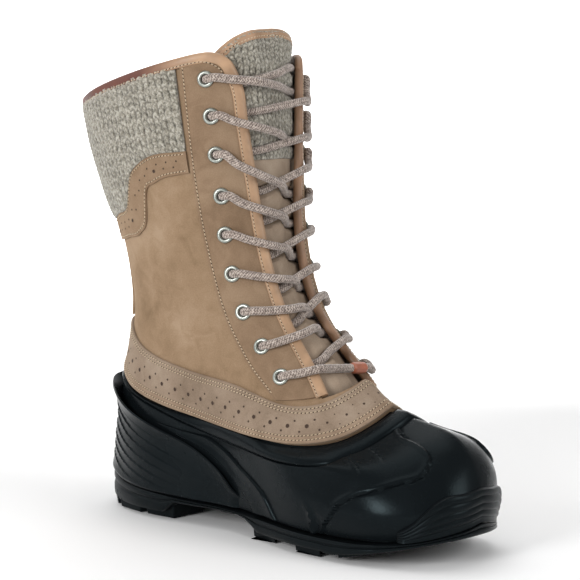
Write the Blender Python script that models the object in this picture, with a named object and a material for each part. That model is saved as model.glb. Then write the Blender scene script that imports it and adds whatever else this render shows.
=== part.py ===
"""Winter boot for the right foot: rubber shell on a lug sole, laced suede shaft with a knit cuff.

Metres, +X to the toe, +Y to the inner side of the foot, +Z up, tables in millimetres. The shaft,
the shell and all they carry are cut from one surface, the outside of the last. skin() gives its
points from a turn and a level. The turn runs around the foot: 0 at the heel, 1 at the toe, minus
on the outer side. The level rises from 0 at the sole's edge to 8 at the collar.
"""
import math

import bmesh
import bpy
import numpy as np
from mathutils import Vector

MM = 0.001

# The last, in millimetres. Each row is one closed section between a back and a front point.
BALL_WIDTH = 108.0
MIDDLE_X = -7.5
SECTION_COLUMNS = ("x_back", "z_back", "x_front", "z_front", "width", "dip", "foot")
SECTIONS = {
    # width is a share of the ball's, dip lowers the sides, foot is how far the outline counts
    "feather": (-134, 23, 137, 23, 0.93, 10, 1.00),
    "wall": (-133, 45, 139, 43, 1.00, 15, 1.00),
    "shoulder": (-131, 67, 118, 67, 0.93, 20, 0.95),
    "topline": (-129, 87, 78, 78, 0.85, 22, 0.60),
    "instep": (-124, 107, 48, 101, 0.78, 10, 0.30),
    "ankle": (-121, 131, 17, 131, 0.74, 3, 0.10),
    "low_shaft": (-125, 161, 1, 169, 0.80, 0, 0.00),
    "mid_shaft": (-140, 205, -5, 219, 0.89, 0, 0.00),
    "collar": (-157, 247, -9, 284, 0.96, 0, 0.00),
    "tongue_top": (-164, 262, -14, 303, 0.96, 0, 0.00),
}
# Columns that all large pieces share, so that their flat faces nest: steps to each throat edge
COLUMN_STEPS = 12
BRIDGE_COLUMNS = 5
# Share of the length from heel to toe, then the outer and the inner half width over the ball's
OUTLINE = (
    (0.00, 0.86, 0.86),
    (0.15, 0.86, 0.86),
    (0.30, 0.72, 0.68),
    (0.42, 0.64, 0.58),
    (0.55, 0.78, 0.68),
    (0.68, 0.97, 0.90),
    (0.78, 1.06, 1.04),
    (0.90, 1.18, 1.20),
    (1.00, 1.16, 1.20),
)
# Turn, then how much of the dip shows there
DIP = (
    (0.00, 0.00),
    (0.12, 0.08),
    (0.25, 0.46),
    (0.40, 0.78),
    (0.55, 0.95),
    (0.70, 1.00),
    (0.82, 0.75),
    (0.92, 0.33),
    (1.00, 0.00),
)
# The toe's inner side: level, then how far it swells towards the front and the inner side, mm
TOE_SWELL = ((0.0, -4.0), (0.5, -3.5), (1.0, -2.0), (1.5, 3.0), (2.0, 6.0), (2.5, 4.5), (3.0, 0.0),
             (9.0, 0.0))
TOE_SWELL_TURN = 0.90
TOE_SWELL_REACH = 0.10
TOE_SWELL_WAY = (0.74, 0.67)
SHAFT_ROUND = 0.95
FOOT_ROUND = 0.82
TOPLINE = 3.0
COLLAR = 7.93
GAP = 0.3
# Level between pieces that meet edge to edge, and turn below which two columns are one
LEVEL_GAP = 0.03
COLUMN_MERGE = 0.012
SOLE_DROP = 1.2
SHAFT_ROWS = 10

# Throat, cuff and mudguard lines, as turn against level or level against turn
THROAT_FOOT = 3.68
THROAT_EDGE = ((3.00, 0.83), (7.30, 0.83), (7.60, 0.82), (7.75, 0.80), (7.90, 0.76))
EYESTAY_REAR = ((3.60, 0.71), (3.80, 0.69), (4.10, 0.665), (4.60, 0.65), (6.00, 0.65), (8.00, 0.66))
MUDGUARD_TOP = ((0.00, 4.50), (0.16, 4.41), (0.31, 4.06), (0.46, 3.90), (0.61, 3.83), (0.70, 3.67),
                (1.00, 3.66))
CUFF_FOOT = ((0.00, 6.42), (0.30, 6.46), (0.39, 6.58), (0.44, 6.92), (0.48, 7.03), (0.66, 7.11))
TRIM_FOOT = ((0.00, 6.12), (0.34, 6.14), (0.42, 6.20), (0.46, 6.35), (0.49, 6.72), (0.52, 6.79),
             (0.66, 6.88))
BACKSTAY_COLUMNS = 2

# Upper wall and what lies on it, in millimetres out from the last
UPPER_WALL = 2.0
OVERLAY_GAP = 0.45
OVERLAY = 1.7
EYESTAY_GAP = 0.05
CUFF_PAD = 3.6
CUFF_BACK_PAD = 5.6
CUFF_PAD_EDGE = 0.55
CUFF_SIDE_GAP = 0.012
TRIM_GAP = 0.02
BACKSTAY_FOOT = 4.58
BACKSTAY_TOP = 6.08
BINDING_RADIUS = 2.0
BINDING_SIDES = 5
BINDING_POINTS = 48
# The binding's middle lies past the edges by a turn and a level, and off the last by this much
BINDING_OUT_TURN = 0.032
BINDING_OUT_LEVEL = 0.060
BINDING_OFFSET = -0.2
BINDING_LEVELS = (3.72, 4.6, 5.5, 6.4, 7.2, 7.55, 7.75)
BINDING_CORNER = ((0.825, 7.93), (0.78, 7.98))
BINDING_BACK = 0.65
TONGUE_DEPTH = 7.3
TONGUE_SINK = 0.34
TONGUE_RIM_RISE = 2.6
TONGUE_WALL = 4.0
TONGUE_TURN = 0.70
TONGUE_FOOT = 3.40
TONGUE_TOP = 8.20
# Levels that its inner and its outer top corner lie lower than its middle
TONGUE_CORNERS = (0.20, 0.56)
TONGUE_KNIT = 6.96
TONGUE_SUEDE_ROWS = 9
TONGUE_KNIT_ROWS = 4
# Above the collar the tongue's inner side leans out over the throat's edge, to this offset
TONGUE_LEAN = -4.8
TONGUE_LEAN_LEVELS = (7.85, 8.15)
TONGUE_KNIT_OUTSIDE = 1.2

# Eyelets from the top down: level and turn, the levels where the strands to the next pair dive
# under the outer and the inner edge, and the level where the inner one rides over its own edge
EYELETS = (
    (7.70, 0.732, 7.38, 7.55, 7.48),
    (7.38, 0.738, 7.05, 7.14, 7.18),
    (7.04, 0.740, 6.62, 6.57, 6.88),
    (6.59, 0.740, 6.27, 6.21, 6.49),
    (6.12, 0.730, 5.84, 5.79, 6.08),
    (5.59, 0.722, 5.36, 5.35, 5.58),
    (5.02, 0.718, 4.86, 4.96, 5.13),
    (4.50, 0.730, 4.25, 4.67, 4.42),
    (4.04, 0.744, 4.04, 4.04, 3.92),
)
# Rows whose two strands meet in the middle and are one piece
MET_STRANDS = (3, 4, 5, 6, 7)
EYELET_RADIUS = 5.0
HOLE_RADIUS = 2.7
EYELET_FOOT = 2.3
EYELET_CREST = 3.1
HOLE_REACH = 5.0
LACE_RADIUS = 2.2
LACE_SIDES = 5
LACE_POINTS = 7
# Turn and offset of a strand, twice over the near edge and twice under the far edge
STRAND_OVER = ((-0.800, 4.9), (-0.875, 6.2))
STRAND_UNDER = ((0.880, -5.3), (0.820, -4.6))
BAR_TURNS = (-0.800, -0.865, 0.865, 0.800)
BAR_OFFSET = 5.1
TOP_BAR = ((-0.81, 7.61), (-0.84, 7.62), (0.84, 7.77), (0.81, 7.78))
TOP_BAR_OFFSET = -5.0
# How far the tongue pushes the middle of a strand and of the top bar outwards
STRAND_RISE = 3.0
TOP_BAR_RISE = 7.0
KEEPER_ENDS = (0.64, 0.82)
KEEPER_RADIUS = 3.7
KEEPER_BORE = 2.7

# Rubber shell, heel cup and stabilisers: level and millimetres out, from the sole up
SHELL_WALL = 3.6
SHELL_SIDE = ((0.02, 0.0), (0.60, 0.3), (1.25, 0.3), (1.88, 0.3))
# From the rim's groove up
SHELL_GROOVE = ((-0.12, 0.0), (0.00, -0.5), (0.10, 1.6))
SHELL_RIM = ((2.90, 1.9), (2.95, 0.2), (2.97, -2.8), (3.32, -2.8))
SHELL_INSIDE = ((0.02, 0.4), (0.60, 0.4), (1.25, 0.4), (1.75, 0.4), (2.00, 0.4), (2.15, 0.3),
                (2.40, 0.2), (2.70, -0.2), (2.85, -0.6), (3.00, -1.2), (3.32, -1.2))
RIM_GROOVE = ((0.00, 2.60), (0.44, 2.60), (0.50, 2.30), (0.55, 2.12), (0.60, 2.09), (0.65, 2.16),
              (0.71, 2.33), (0.78, 2.57), (0.85, 2.64), (1.00, 2.70))
HEEL_CUP_TOP = ((0.00, 2.64), (0.12, 2.60), (0.24, 2.52), (0.30, 2.33), (0.355, 2.11), (0.41, 1.82),
                (0.445, 1.43), (0.470, 1.00), (0.488, 0.45))
# Share of the cup's height, then its outside at the back in millimetres
HEEL_CUP_SIDE = ((0.00, 6.4), (0.20, 4.2), (0.45, 3.2), (0.65, 3.2), (0.82, 5.2), (1.00, 9.0))
# Thickness at the sides, where the cup leaves the shell, and how far its lip stands off
CUP_SIDE = 2.6
CUP_GAP = 0.9
CUP_LIP_START = 0.75
CUP_LIP = 3.0
STABILISER_TOP = 2.32
STABILISER_OUTSIDE = 3.6
STABILISER_INSIDE = 2.0
STABILISER_INSET = 0.008
STABILISER_REAR = ((0.0, 0.498), (0.6, 0.490), (1.0, 0.477), (1.4, 0.454), (1.8, 0.418),
                   (2.1, 0.364), (2.5, 0.290))
STABILISER_FRONT = ((0.0, 0.552), (0.4, 0.540), (1.0, 0.522), (1.4, 0.502), (1.8, 0.484),
                    (2.5, 0.450))

# Outsole
SOLE_EDGE = 5.0
LUG_DEPTH = 9.0
HEEL_BREAST = -62.0
ARCH_END = 0.0
ARCH_RISE = 2.2
HEEL_BEVEL_START = -98.0
HEEL_BEVEL = 4.0
SPRING_START = 70.0
TOE_SPRING = 16.0
TOE_TIP = 142.0
TOE_SPRING_POWER = 1.15
TOE_LUG_LOSS = 0.85
# Slopes at both ends of the arch, and the sole's lower edge: inset, height, gap to the ledge
ARCH_SLOPES = (HEEL_BREAST - 3, HEEL_BREAST + 2, ARCH_END - 2, ARCH_END + 6)
SOLE_INSET = 3.0
SOLE_CHAMFER = 2.5
SOLE_SIDE_LEAST = 1.5
PLUG_HEIGHT = 7.0
PLUG_GAP = 0.9
PLUG_DRAFT = 0.3
FOOTBED_GAP = 1.6
FOOTBED_THICKNESS = 4.0
# Outside of the toe's bumper at its rows, from the sole up
BUMPER_RIBS = (4.1, 4.3, 3.6, 4.2, 3.5, 3.6)
BUMPER_GAP = 2.0
BUMPER_TOP = ((0.80, 0.45), (0.82, 0.65), (0.84, 0.84), (0.87, 1.01), (0.90, 1.08), (0.96, 0.98),
              (1.00, 0.93))

# Tread blocks as outlines of (x, y) seen from above, all on the ground but for the toe's spring
TREAD_TAPER = 0.93
TREAD_BURY = 1.5
OUTER_TREAD = (
    ((109.5, -3), (94, -6), (104, -24), (107, -42), (124, -32), (112.5, -20.5)),
    ((85.5, -8.5), (69, -11.5), (77.5, -31), (79, -50), (103, -45), (86, -27), (82.5, -37)),
    ((55, -12.5), (38, -11), (45, -47), (67, -50), (53, -28.5), (49.5, -40)),
    ((19.5, -12), (-1, -6.5), (3, -36.5), (26, -42), (15, -25), (10, -34)),
)
INNER_TREAD = (
    ((126, 26), (117, 20), (104.5, 22), (104, 44), (116, 37)),
    ((101, 35), (89, 23.5), (75.5, 24), (75, 48), (101, 46)),
    ((70, 38), (63.5, 23.5), (45.5, 23), (43.5, 41), (70, 47)),
    ((39, 33), (32, 19), (20, 17), (14, 31), (38, 40)),
)
TOE_TREAD = (
    ((131, 22), (122.5, 15.5), (128, 1), (139, 1), (136.5, 11)),
    ((139.5, -3), (127.5, -3), (120, -20), (128, -28), (136, -17)),
)
CENTRE_STUDS = (
    ((122, 6), (119, 1), (111, 0.5), (115, 6)),
    ((119, -6), (117.5, -12), (112.8, -13), (113, -8.5)),
    ((109.5, 12), (107, 5), (101.5, 2.5), (103.5, 12)),
    ((99, 30), (97.5, 16), (91, 14), (93, 24)),
    ((91, 6.5), (89, -1), (85.5, -3), (87, 4)),
    ((83, 16), (80, 6), (75.5, -0.5), (75.5, 16)),
    ((73.5, 33), (72.5, 20), (66, 18), (68.5, 26)),
    ((67, 8), (66, -1), (62.5, -2), (63.5, 4)),
    ((57, 17), (54, 4), (49.5, 0), (48, 14), (51, 18)),
    ((41.5, 31), (41, 18), (34.5, 15), (37, 24)),
    ((42, 7), (41, -1), (38, -2.5), (38, 5)),
    ((31, 11), (29, -2), (23, -2), (24, 10)),
    ((12.5, 26), (16, 13), (15.5, 10), (9.5, 10.5)),
    ((21, -5), (14, -2), (9, 0), (11, -5)),
)
HEEL_TREAD = (
    ((-64, -35), (-64, -8), (-84, -8), (-88, -36)),
    ((-64, 4), (-64, 34), (-88, 35), (-84, 4)),
    ((-92, -36), (-89, -14), (-104, -14), (-113, -34)),
    ((-92, 36), (-113, 34), (-104, 12), (-89, 12)),
    ((-117, -32), (-108, -14), (-122, -3), (-135, -10), (-131, -21)),
    ((-117, 32), (-131, 21), (-135, 9), (-122, 1), (-108, 13)),
)

# Piece: colour, roughness, metallic
LOOKS = {
    "rubber": ((0.018, 0.021, 0.023), 0.55, 0.0),
    "sole": ((0.022, 0.025, 0.027), 0.60, 0.0),
    "suede": ((0.42, 0.29, 0.18), 0.90, 0.0),
    "dark_suede": ((0.36, 0.25, 0.16), 0.90, 0.0),
    "knit": ((0.38, 0.36, 0.31), 0.95, 0.0),
    "leather": ((0.50, 0.26, 0.14), 0.50, 0.0),
    "lace": ((0.29, 0.23, 0.21), 0.85, 0.0),
    "metal": ((0.75, 0.75, 0.73), 0.30, 1.0),
    "foam": ((0.25, 0.24, 0.22), 0.90, 0.0),
}
SHARP_ANGLE = math.radians(35)


def curve(table, where, column=1):
    """Smooth value of a table's column at a place along its first column."""
    table = np.asarray(table, float)
    knots = table[:, 0]
    values = table[:, column]
    where = np.clip(np.asarray(where, float), knots[0], knots[-1])
    i = np.clip(np.searchsorted(knots, where, side="right") - 1, 0, len(knots) - 2)
    slope = np.gradient(values, knots)
    step = knots[i + 1] - knots[i]
    t = (where - knots[i]) / step
    ahead = t * t * (3 - 2 * t) * values[i + 1] + t * t * (t - 1) * step * slope[i + 1]
    behind = (1 + 2 * t) * (1 - t) ** 2 * values[i] + t * (1 - t) ** 2 * step * slope[i]
    return ahead + behind


def section(level):
    """Named sizes of the last at a level, smooth between the rows."""
    rows = np.array(list(SECTIONS.values()))
    table = np.column_stack([np.arange(len(rows)), rows])
    return {name: curve(table, level, k + 1) for k, name in enumerate(SECTION_COLUMNS)}


def last_point(turn, level):
    """Point of the last's surface, in millimetres from the last's own zero."""
    turn = (turn + 1) % 2 - 1
    row = section(level)
    angle = np.pi * np.abs(turn)
    cosine = np.cos(angle)
    power = SHAFT_ROUND + (FOOT_ROUND - SHAFT_ROUND) * row["foot"]
    along = (1 - np.sign(cosine) * np.abs(cosine) ** power) / 2
    outline = np.where(turn < 0, curve(OUTLINE, along, 1), curve(OUTLINE, along, 2))
    width = row["width"] * BALL_WIDTH / 2 * (1 + row["foot"] * (outline - 1))
    x = row["x_back"] + (row["x_front"] - row["x_back"]) * along
    y = np.sign(turn) * np.abs(np.sin(angle)) ** power * width
    z = row["z_back"] + (row["z_front"] - row["z_back"]) * along - row["dip"] * curve(DIP, np.abs(turn))
    aside = ((turn - TOE_SWELL_TURN + 1) % 2 - 1) / TOE_SWELL_REACH
    swell = curve(TOE_SWELL, level) * np.exp(-aside ** 2)
    return np.stack([x + swell * TOE_SWELL_WAY[0], y + swell * TOE_SWELL_WAY[1], z], -1)


def skin(turn, level, offset=0.0):
    """Points in metres, an offset in millimetres out from the last at a turn and a level."""
    turn, level, offset = np.broadcast_arrays(*(np.asarray(v, float) for v in (turn, level, offset)))
    step = 0.001
    top = len(SECTIONS) - 1
    across = last_point(turn + step, level) - last_point(turn - step, level)
    up = last_point(turn, np.minimum(level + step, top)) - last_point(turn, np.maximum(level - step, 0))
    normal = np.cross(up, across)
    normal /= np.linalg.norm(normal, axis=-1, keepdims=True)
    return (last_point(turn, level) + normal * offset[..., None] - (MIDDLE_X, 0, 0)) * MM


def finish(name, mesh, look):
    """Scene object of a bmesh, with its own material."""
    bmesh.ops.recalc_face_normals(mesh, faces=mesh.faces)
    data = bpy.data.meshes.new(name)
    mesh.to_mesh(data)
    mesh.free()
    data.shade_smooth()
    data.set_sharp_from_angle(angle=SHARP_ANGLE)
    piece = bpy.data.objects.new(name, data)
    bpy.context.collection.objects.link(piece)
    colour, roughness, metallic = LOOKS[look]
    material = bpy.data.materials.new(name)
    material.use_nodes = True
    shader = material.node_tree.nodes["Principled BSDF"]
    shader.inputs["Base Color"].default_value = (*colour, 1)
    shader.inputs["Roughness"].default_value = roughness
    shader.inputs["Metallic"].default_value = metallic
    data.materials.append(material)
    return piece


def grid(columns, rows, closed=False):
    """Faces of a grid whose points run up each column in turn."""
    faces = []
    for i in range(columns if closed else columns - 1):
        for j in range(rows - 1):
            a = i * rows + j
            b = (i + 1) % columns * rows + j
            faces.append((a, a + 1, b + 1, b))
    return faces


def walled(name, outer, inner, faces, look):
    """Closed solid between two skins with the same faces, rimmed along their free edges."""
    outer = np.reshape(outer, (-1, 3))
    inner = np.reshape(inner, (-1, 3))
    used = sorted({i for face in faces for i in face})
    mesh = bmesh.new()
    top = {i: mesh.verts.new(outer[i]) for i in used}
    low = {i: mesh.verts.new(inner[i]) for i in used}
    edges = {pair for face in faces for pair in zip(face, face[1:] + face[:1])}
    for face in faces:
        mesh.faces.new([top[i] for i in face])
        mesh.faces.new([low[i] for i in face[:1] + face[:0:-1]])
    for a, b in edges:
        if (b, a) not in edges:
            mesh.faces.new((top[b], top[a], low[a], low[b]))
    return finish(name, mesh, look)


def ring_turns():
    """Turns of the shared columns, from one throat edge around the heel and on across the toe."""
    edge = THROAT_EDGE[0][1]
    around = np.linspace(-edge, edge, 2 * COLUMN_STEPS + 1)
    across = np.linspace(edge, 2 - edge, BRIDGE_COLUMNS + 2)[1:-1]
    return np.r_[around, across]


def shares_between(end):
    """Shares of the way from minus a turn to that turn, at its ends and the shared columns."""
    turns = ring_turns()
    inside = turns[np.abs(turns) < end - COLUMN_MERGE]
    return (np.r_[-end, inside, end] + end) / (2 * end)


def patch(columns, rows, start, end, low, high):
    """Turns and levels of a grid. Bounds are numbers, or tables read at the other value."""
    def bound(value, where):
        return curve(value, where) if isinstance(value, tuple) else np.full_like(where, value)
    shares = np.linspace(0, 1, columns) if isinstance(columns, int) else columns
    share = shares[:, None] * np.ones((1, rows))
    height = np.linspace(0, 1, rows)[None, :] * np.ones((len(shares), 1))
    turn = bound(start, height) * (1 - share) + bound(end, height) * share
    level = height
    for _ in range(4):
        level = bound(low, fold(turn)) * (1 - height) + bound(high, fold(turn)) * height
        turn = bound(start, level) * (1 - share) + bound(end, level) * share
    return turn, level


def fold(turn):
    """Size of a turn, for the tables that hold on both sides of the foot."""
    return np.abs((turn + 1) % 2 - 1)


def cut(target, cutter):
    """Live cut of one closed shape out of another."""
    modifier = target.modifiers.new("cut " + cutter.name, "BOOLEAN")
    modifier.object = cutter
    modifier.operation = "DIFFERENCE"


def join(target, other):
    """Live union with a shape that is hidden as an object of its own."""
    other.hide_render = True
    other.display_type = "WIRE"
    modifier = target.modifiers.new("join " + other.name, "BOOLEAN")
    modifier.object = other
    modifier.use_self = True
    modifier.operation = "UNION"


def tube(name, points, radius, sides, look):
    """Round bar in metres along points, with flat ends."""
    points = [Vector(p) for p in points]
    mesh = bmesh.new()
    rings = []
    side = None
    for i, point in enumerate(points):
        ahead = points[min(i + 1, len(points) - 1)] - points[max(i - 1, 0)]
        ahead.normalize()
        if side is None:
            side = ahead.orthogonal()
        side = (side - ahead * side.dot(ahead)).normalized()
        other = ahead.cross(side)
        angles = [2 * math.pi * k / sides for k in range(sides)]
        spokes = [side * math.cos(a) + other * math.sin(a) for a in angles]
        rings.append([mesh.verts.new(point + spoke * radius) for spoke in spokes])
    for first, second in zip(rings, rings[1:]):
        for k in range(sides):
            n = (k + 1) % sides
            mesh.faces.new((first[k], first[n], second[n], second[k]))
    mesh.faces.new(list(reversed(rings[0])))
    mesh.faces.new(rings[-1])
    return finish(name, mesh, look)


def smooth_route(points, count):
    """Points spread evenly along a smooth curve through a route."""
    points = np.asarray(points)
    lengths = np.r_[0, np.cumsum(np.linalg.norm(np.diff(points, axis=0), axis=1))]
    where = np.linspace(0, lengths[-1], count)
    return np.stack([curve(np.column_stack([lengths, points[:, k]]), where) for k in range(3)], -1)


def build_upper():
    """Hollow suede shaft, open at the collar and the throat, closed as a ring below the throat."""
    turns = ring_turns()
    wrap = 2 * COLUMN_STEPS + 1
    low_levels = np.linspace(TOPLINE + LEVEL_GAP, THROAT_FOOT, 3)
    levels = np.r_[low_levels, np.linspace(THROAT_FOOT, COLLAR, SHAFT_ROWS)[1:]]
    rows = len(levels)
    level = np.tile(levels, (len(turns), 1))
    turn = np.tile(turns[:, None], (1, rows))
    turn[:wrap] *= curve(THROAT_EDGE, level[:wrap]) / THROAT_EDGE[0][1]
    faces = grid(len(turns), rows, closed=True)
    throat_row = len(low_levels) - 1
    kept = [f for f in faces if f[0] // rows < wrap - 1 or f[0] % rows < throat_row]
    return walled("upper", skin(turn, level), skin(turn, level, -UPPER_WALL), kept, "suede")


def overlay(name, place, look, outer=OVERLAY, closed=False):
    """Flat piece that lies on the upper."""
    turn, level = place
    faces = grid(*turn.shape, closed)
    return walled(name, skin(turn, level, outer), skin(turn, level, OVERLAY_GAP), faces, look)


def build_overlays():
    """Mudguard, eyestays, cuff with its trim, and backstay."""
    turns = ring_turns()
    shares = (turns - turns[0]) / 2
    place = patch(shares, 3, turns[0], turns[0] + 2, TOPLINE + LEVEL_GAP, MUDGUARD_TOP)
    overlay("mudguard", place, "suede",
            closed=True)
    for side, name in ((-1, "eyestay_lateral"), (1, "eyestay_medial")):
        turn, level = patch(4, SHAFT_ROWS, EYESTAY_REAR, THROAT_EDGE, THROAT_FOOT + EYESTAY_GAP, COLLAR)
        overlay(name, (side * turn, level), "dark_suede")
    rear = EYESTAY_REAR[-1][1] - CUFF_SIDE_GAP
    turn, level = patch(shares_between(rear), 6, -rear, rear, CUFF_FOOT, COLLAR)
    height = np.linspace(0, 1, turn.shape[1])
    swell = np.sin(np.pi * height[None, :]) ** 0.5
    thick = CUFF_PAD + (CUFF_BACK_PAD - CUFF_PAD) * np.cos(np.pi * np.clip(turn, -0.5, 0.5))
    pad = CUFF_PAD * CUFF_PAD_EDGE + (thick - CUFF_PAD * CUFF_PAD_EDGE) * swell
    overlay("knit_cuff", (turn, level), "knit", outer=pad)
    turn, level = patch(shares_between(rear), 2, -rear, rear, TRIM_FOOT, CUFF_FOOT)
    level[:, -1] -= TRIM_GAP
    overlay("cuff_trim", (turn, level), "dark_suede")
    half = THROAT_EDGE[0][1] * BACKSTAY_COLUMNS / COLUMN_STEPS
    overlay("backstay", patch(2 * BACKSTAY_COLUMNS + 1, 5, -half, half, BACKSTAY_FOOT, BACKSTAY_TOP), "suede")


def build_binding():
    """Piping along both throat edges and around the collar."""
    side = [(float(curve(THROAT_EDGE, v)) + BINDING_OUT_TURN, v) for v in BINDING_LEVELS]
    top = [(t, COLLAR + BINDING_OUT_LEVEL) for t in np.linspace(BINDING_BACK, 0, 7)]
    half = side + list(BINDING_CORNER) + top
    route = [(-t, v) for t, v in half] + [(t, v) for t, v in reversed(half[:-1])]
    turns, heights = zip(*route)
    points = smooth_route(skin(np.array(turns), np.array(heights), BINDING_OFFSET), BINDING_POINTS)
    tube("edge_binding", points, BINDING_RADIUS * MM, BINDING_SIDES, "leather")


def sag(level):
    """How far the last bulges past a straight line between the throat edges, in millimetres."""
    edge = curve(THROAT_EDGE, level)
    middle = (skin(edge, level) + skin(-edge, level)) / 2
    return np.linalg.norm(skin(np.ones_like(edge), level) - middle, axis=-1) / MM


def tongue_offset(turn, level):
    """Outside of the tongue, sunk so that the lacing crosses it in straight lines."""
    inside = np.clip((fold(turn) - TONGUE_TURN) / (1 - TONGUE_TURN), 0, 1)
    sunk = -TONGUE_DEPTH - TONGUE_SINK * sag(level) * np.sin(0.5 * np.pi * inside) ** 2
    low, high = TONGUE_LEAN_LEVELS
    free = np.clip((level - low) / (high - low), 0, 1) * np.clip((1 - turn) / (1 - TONGUE_TURN) * 2, 0, 1)
    return sunk + (TONGUE_LEAN - sunk) * free


def build_tongue():
    """Padded tongue behind the throat, its knit top and the binding over its edge."""
    turn = np.linspace(TONGUE_TURN, 2 - TONGUE_TURN, 8)
    across = (turn - 1) / (1 - TONGUE_TURN)
    top = TONGUE_TOP - np.where(across < 0, *TONGUE_CORNERS) * across ** 2
    low_rows = np.linspace(TONGUE_FOOT, TONGUE_KNIT, TONGUE_SUEDE_ROWS)[None, :] + 0 * turn[:, None]
    share = np.linspace(0, 1, TONGUE_KNIT_ROWS)[None, 1:]
    level = np.concatenate([low_rows, TONGUE_KNIT + (top[:, None] - TONGUE_KNIT) * share], axis=1)
    turn = turn[:, None] + 0 * level
    outer = tongue_offset(turn, level)
    faces = grid(*turn.shape)
    walled("tongue", skin(turn, level, outer), skin(turn, level, outer - TONGUE_WALL), faces,
           "dark_suede")
    rim = skin(turn[:, -1], level[:, -1], outer[:, -1] - TONGUE_WALL / 2)
    outward = skin(turn[:, -1], level[:, -1], outer[:, -1]) - rim
    rise = np.cross(outward, np.gradient(rim, axis=0))
    rise *= np.sign(rise[:, 2:]) / np.linalg.norm(rise, axis=1, keepdims=True)
    rim += rise * TONGUE_RIM_RISE * MM
    tube("tongue_binding", smooth_route(rim, 13), BINDING_RADIUS * MM, 6, "leather")
    turn = turn[:, TONGUE_SUEDE_ROWS - 1:]
    level = level[:, TONGUE_SUEDE_ROWS - 1:]
    outer = tongue_offset(turn, level)
    walled("tongue_knit", skin(turn, level, outer + TONGUE_KNIT_OUTSIDE),
           skin(turn, level, outer + OVERLAY_GAP), grid(*turn.shape), "knit")


def eyelet_frame(side, turn, level):
    """Centre on the last and outward direction of an eyelet."""
    centre = skin(side * turn, level)
    return centre, (skin(side * turn, level, 1.0) - centre) / MM


def build_eyelets():
    """Metal rings of both rows, and the holes under them."""
    cutter_mesh = bmesh.new()
    for side, row in ((-1, "lateral"), (1, "medial")):
        for number, (level, turn) in enumerate([row[:2] for row in EYELETS], 1):
            centre, out = eyelet_frame(side, turn, level)
            rings = []
            for radius, height in ((EYELET_RADIUS, EYELET_FOOT), (EYELET_RADIUS, EYELET_CREST),
                                   (HOLE_RADIUS, EYELET_CREST), (HOLE_RADIUS, EYELET_FOOT)):
                rings.append(circle(centre + out * height * MM, out, radius * MM, 8))
            ring_solid("eyelet_%s_%d" % (row, number), rings, "metal")
            ends = [circle(centre + out * h * MM, out, HOLE_RADIUS * MM, 6) for h in (-HOLE_REACH, HOLE_REACH)]
            add_drum(cutter_mesh, ends)
    cutter = finish("eyelet_holes", cutter_mesh, "metal")
    cutter.hide_render = True
    cutter.display_type = "WIRE"
    for name in ("upper", "eyestay_lateral", "eyestay_medial"):
        cut(bpy.data.objects[name], cutter)


def circle(centre, axis, radius, sides):
    """Points of a regular polygon around an axis."""
    axis = Vector(axis).normalized()
    first = axis.cross(Vector((0, 0, 1))).normalized()
    second = axis.cross(first)
    angles = [2 * math.pi * (k + 0.5) / sides for k in range(sides)]
    return [Vector(centre) + (first * math.cos(a) + second * math.sin(a)) * radius for a in angles]


def ring_solid(name, rings, look):
    """Ring whose section joins circles in a closed loop."""
    mesh = bmesh.new()
    loops = [[mesh.verts.new(p) for p in ring] for ring in rings]
    for first, second in zip(loops, loops[1:] + loops[:1]):
        bridge_loops(mesh, first, second)
    return finish(name, mesh, look)


def bridge_loops(mesh, first, second):
    """Side faces between two rings of vertices."""
    for k in range(len(first)):
        n = (k + 1) % len(first)
        mesh.faces.new((first[k], first[n], second[n], second[k]))


def add_drum(mesh, ends):
    """Closed prism between two equal outlines."""
    first, second = [[mesh.verts.new(p) for p in end] for end in ends]
    bridge_loops(mesh, first, second)
    mesh.faces.new(list(reversed(first)))
    mesh.faces.new(second)


def bowed(route, level, rise):
    """Route of four points with one more in its middle, pushed out by the tongue."""
    outward = skin(1.0, level, rise) - skin(1.0, level)
    return route[:2] + [(route[1] + route[2]) / 2 + outward] + route[2:]


def strand(name, side, over_level, under_level):
    """Lace from over one throat edge to under the other, that starts at a side's edge."""
    route = [skin(side * turn, over_level, offset) for turn, offset in STRAND_OVER]
    route += [skin(side * turn, under_level, offset) for turn, offset in STRAND_UNDER]
    route = smooth_route(bowed(route, (over_level + under_level) / 2, STRAND_RISE), LACE_POINTS)
    return tube(name, route, LACE_RADIUS * MM, LACE_SIDES, "lace")


def build_laces():
    """One crossing between each pair of eyelet rows, a bar at each end and the keeper."""
    for number, (level, _, outer_dive, inner_dive, inner_level) in enumerate(EYELETS[:-1], 1):
        crossing = strand("lace_crossing_%d" % number, 1, level, inner_dive)
        back = strand("lace_return_%d" % number, -1, inner_level, outer_dive)
        if number in MET_STRANDS:
            join(crossing, back)
    outer_foot, inner_foot = EYELETS[-1][0], EYELETS[-1][-1]
    ends = [skin(turn, outer_foot if turn < 0 else inner_foot, BAR_OFFSET) for turn in BAR_TURNS]
    straight = [ends[1] + (ends[2] - ends[1]) * share for share in (0.25, 0.5, 0.75)]
    bar = smooth_route(ends[:2] + straight + ends[2:], LACE_POINTS + 2)
    tube("lace_bottom_bar", bar, LACE_RADIUS * MM, LACE_SIDES, "lace")
    route = [skin(turn, level, TOP_BAR_OFFSET) for turn, level in TOP_BAR]
    route = smooth_route(bowed(route, TOP_BAR[1][1], TOP_BAR_RISE), LACE_POINTS)
    tube("lace_top_bar", route, LACE_RADIUS * MM, LACE_SIDES, "lace")
    build_keeper(np.asarray(ends))


def build_keeper(ends):
    """Leather sleeve around the bottom bar, near its inner end."""
    start, end = ends[1], ends[2]
    axis = end - start
    rings = []
    first, last = KEEPER_ENDS
    for radius, share in ((KEEPER_RADIUS, first), (KEEPER_RADIUS, last), (KEEPER_BORE, last),
                          (KEEPER_BORE, first)):
        rings.append(circle(start + axis * share, axis, radius * MM, 10))
    ring_solid("lace_keeper", rings, "leather")


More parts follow.
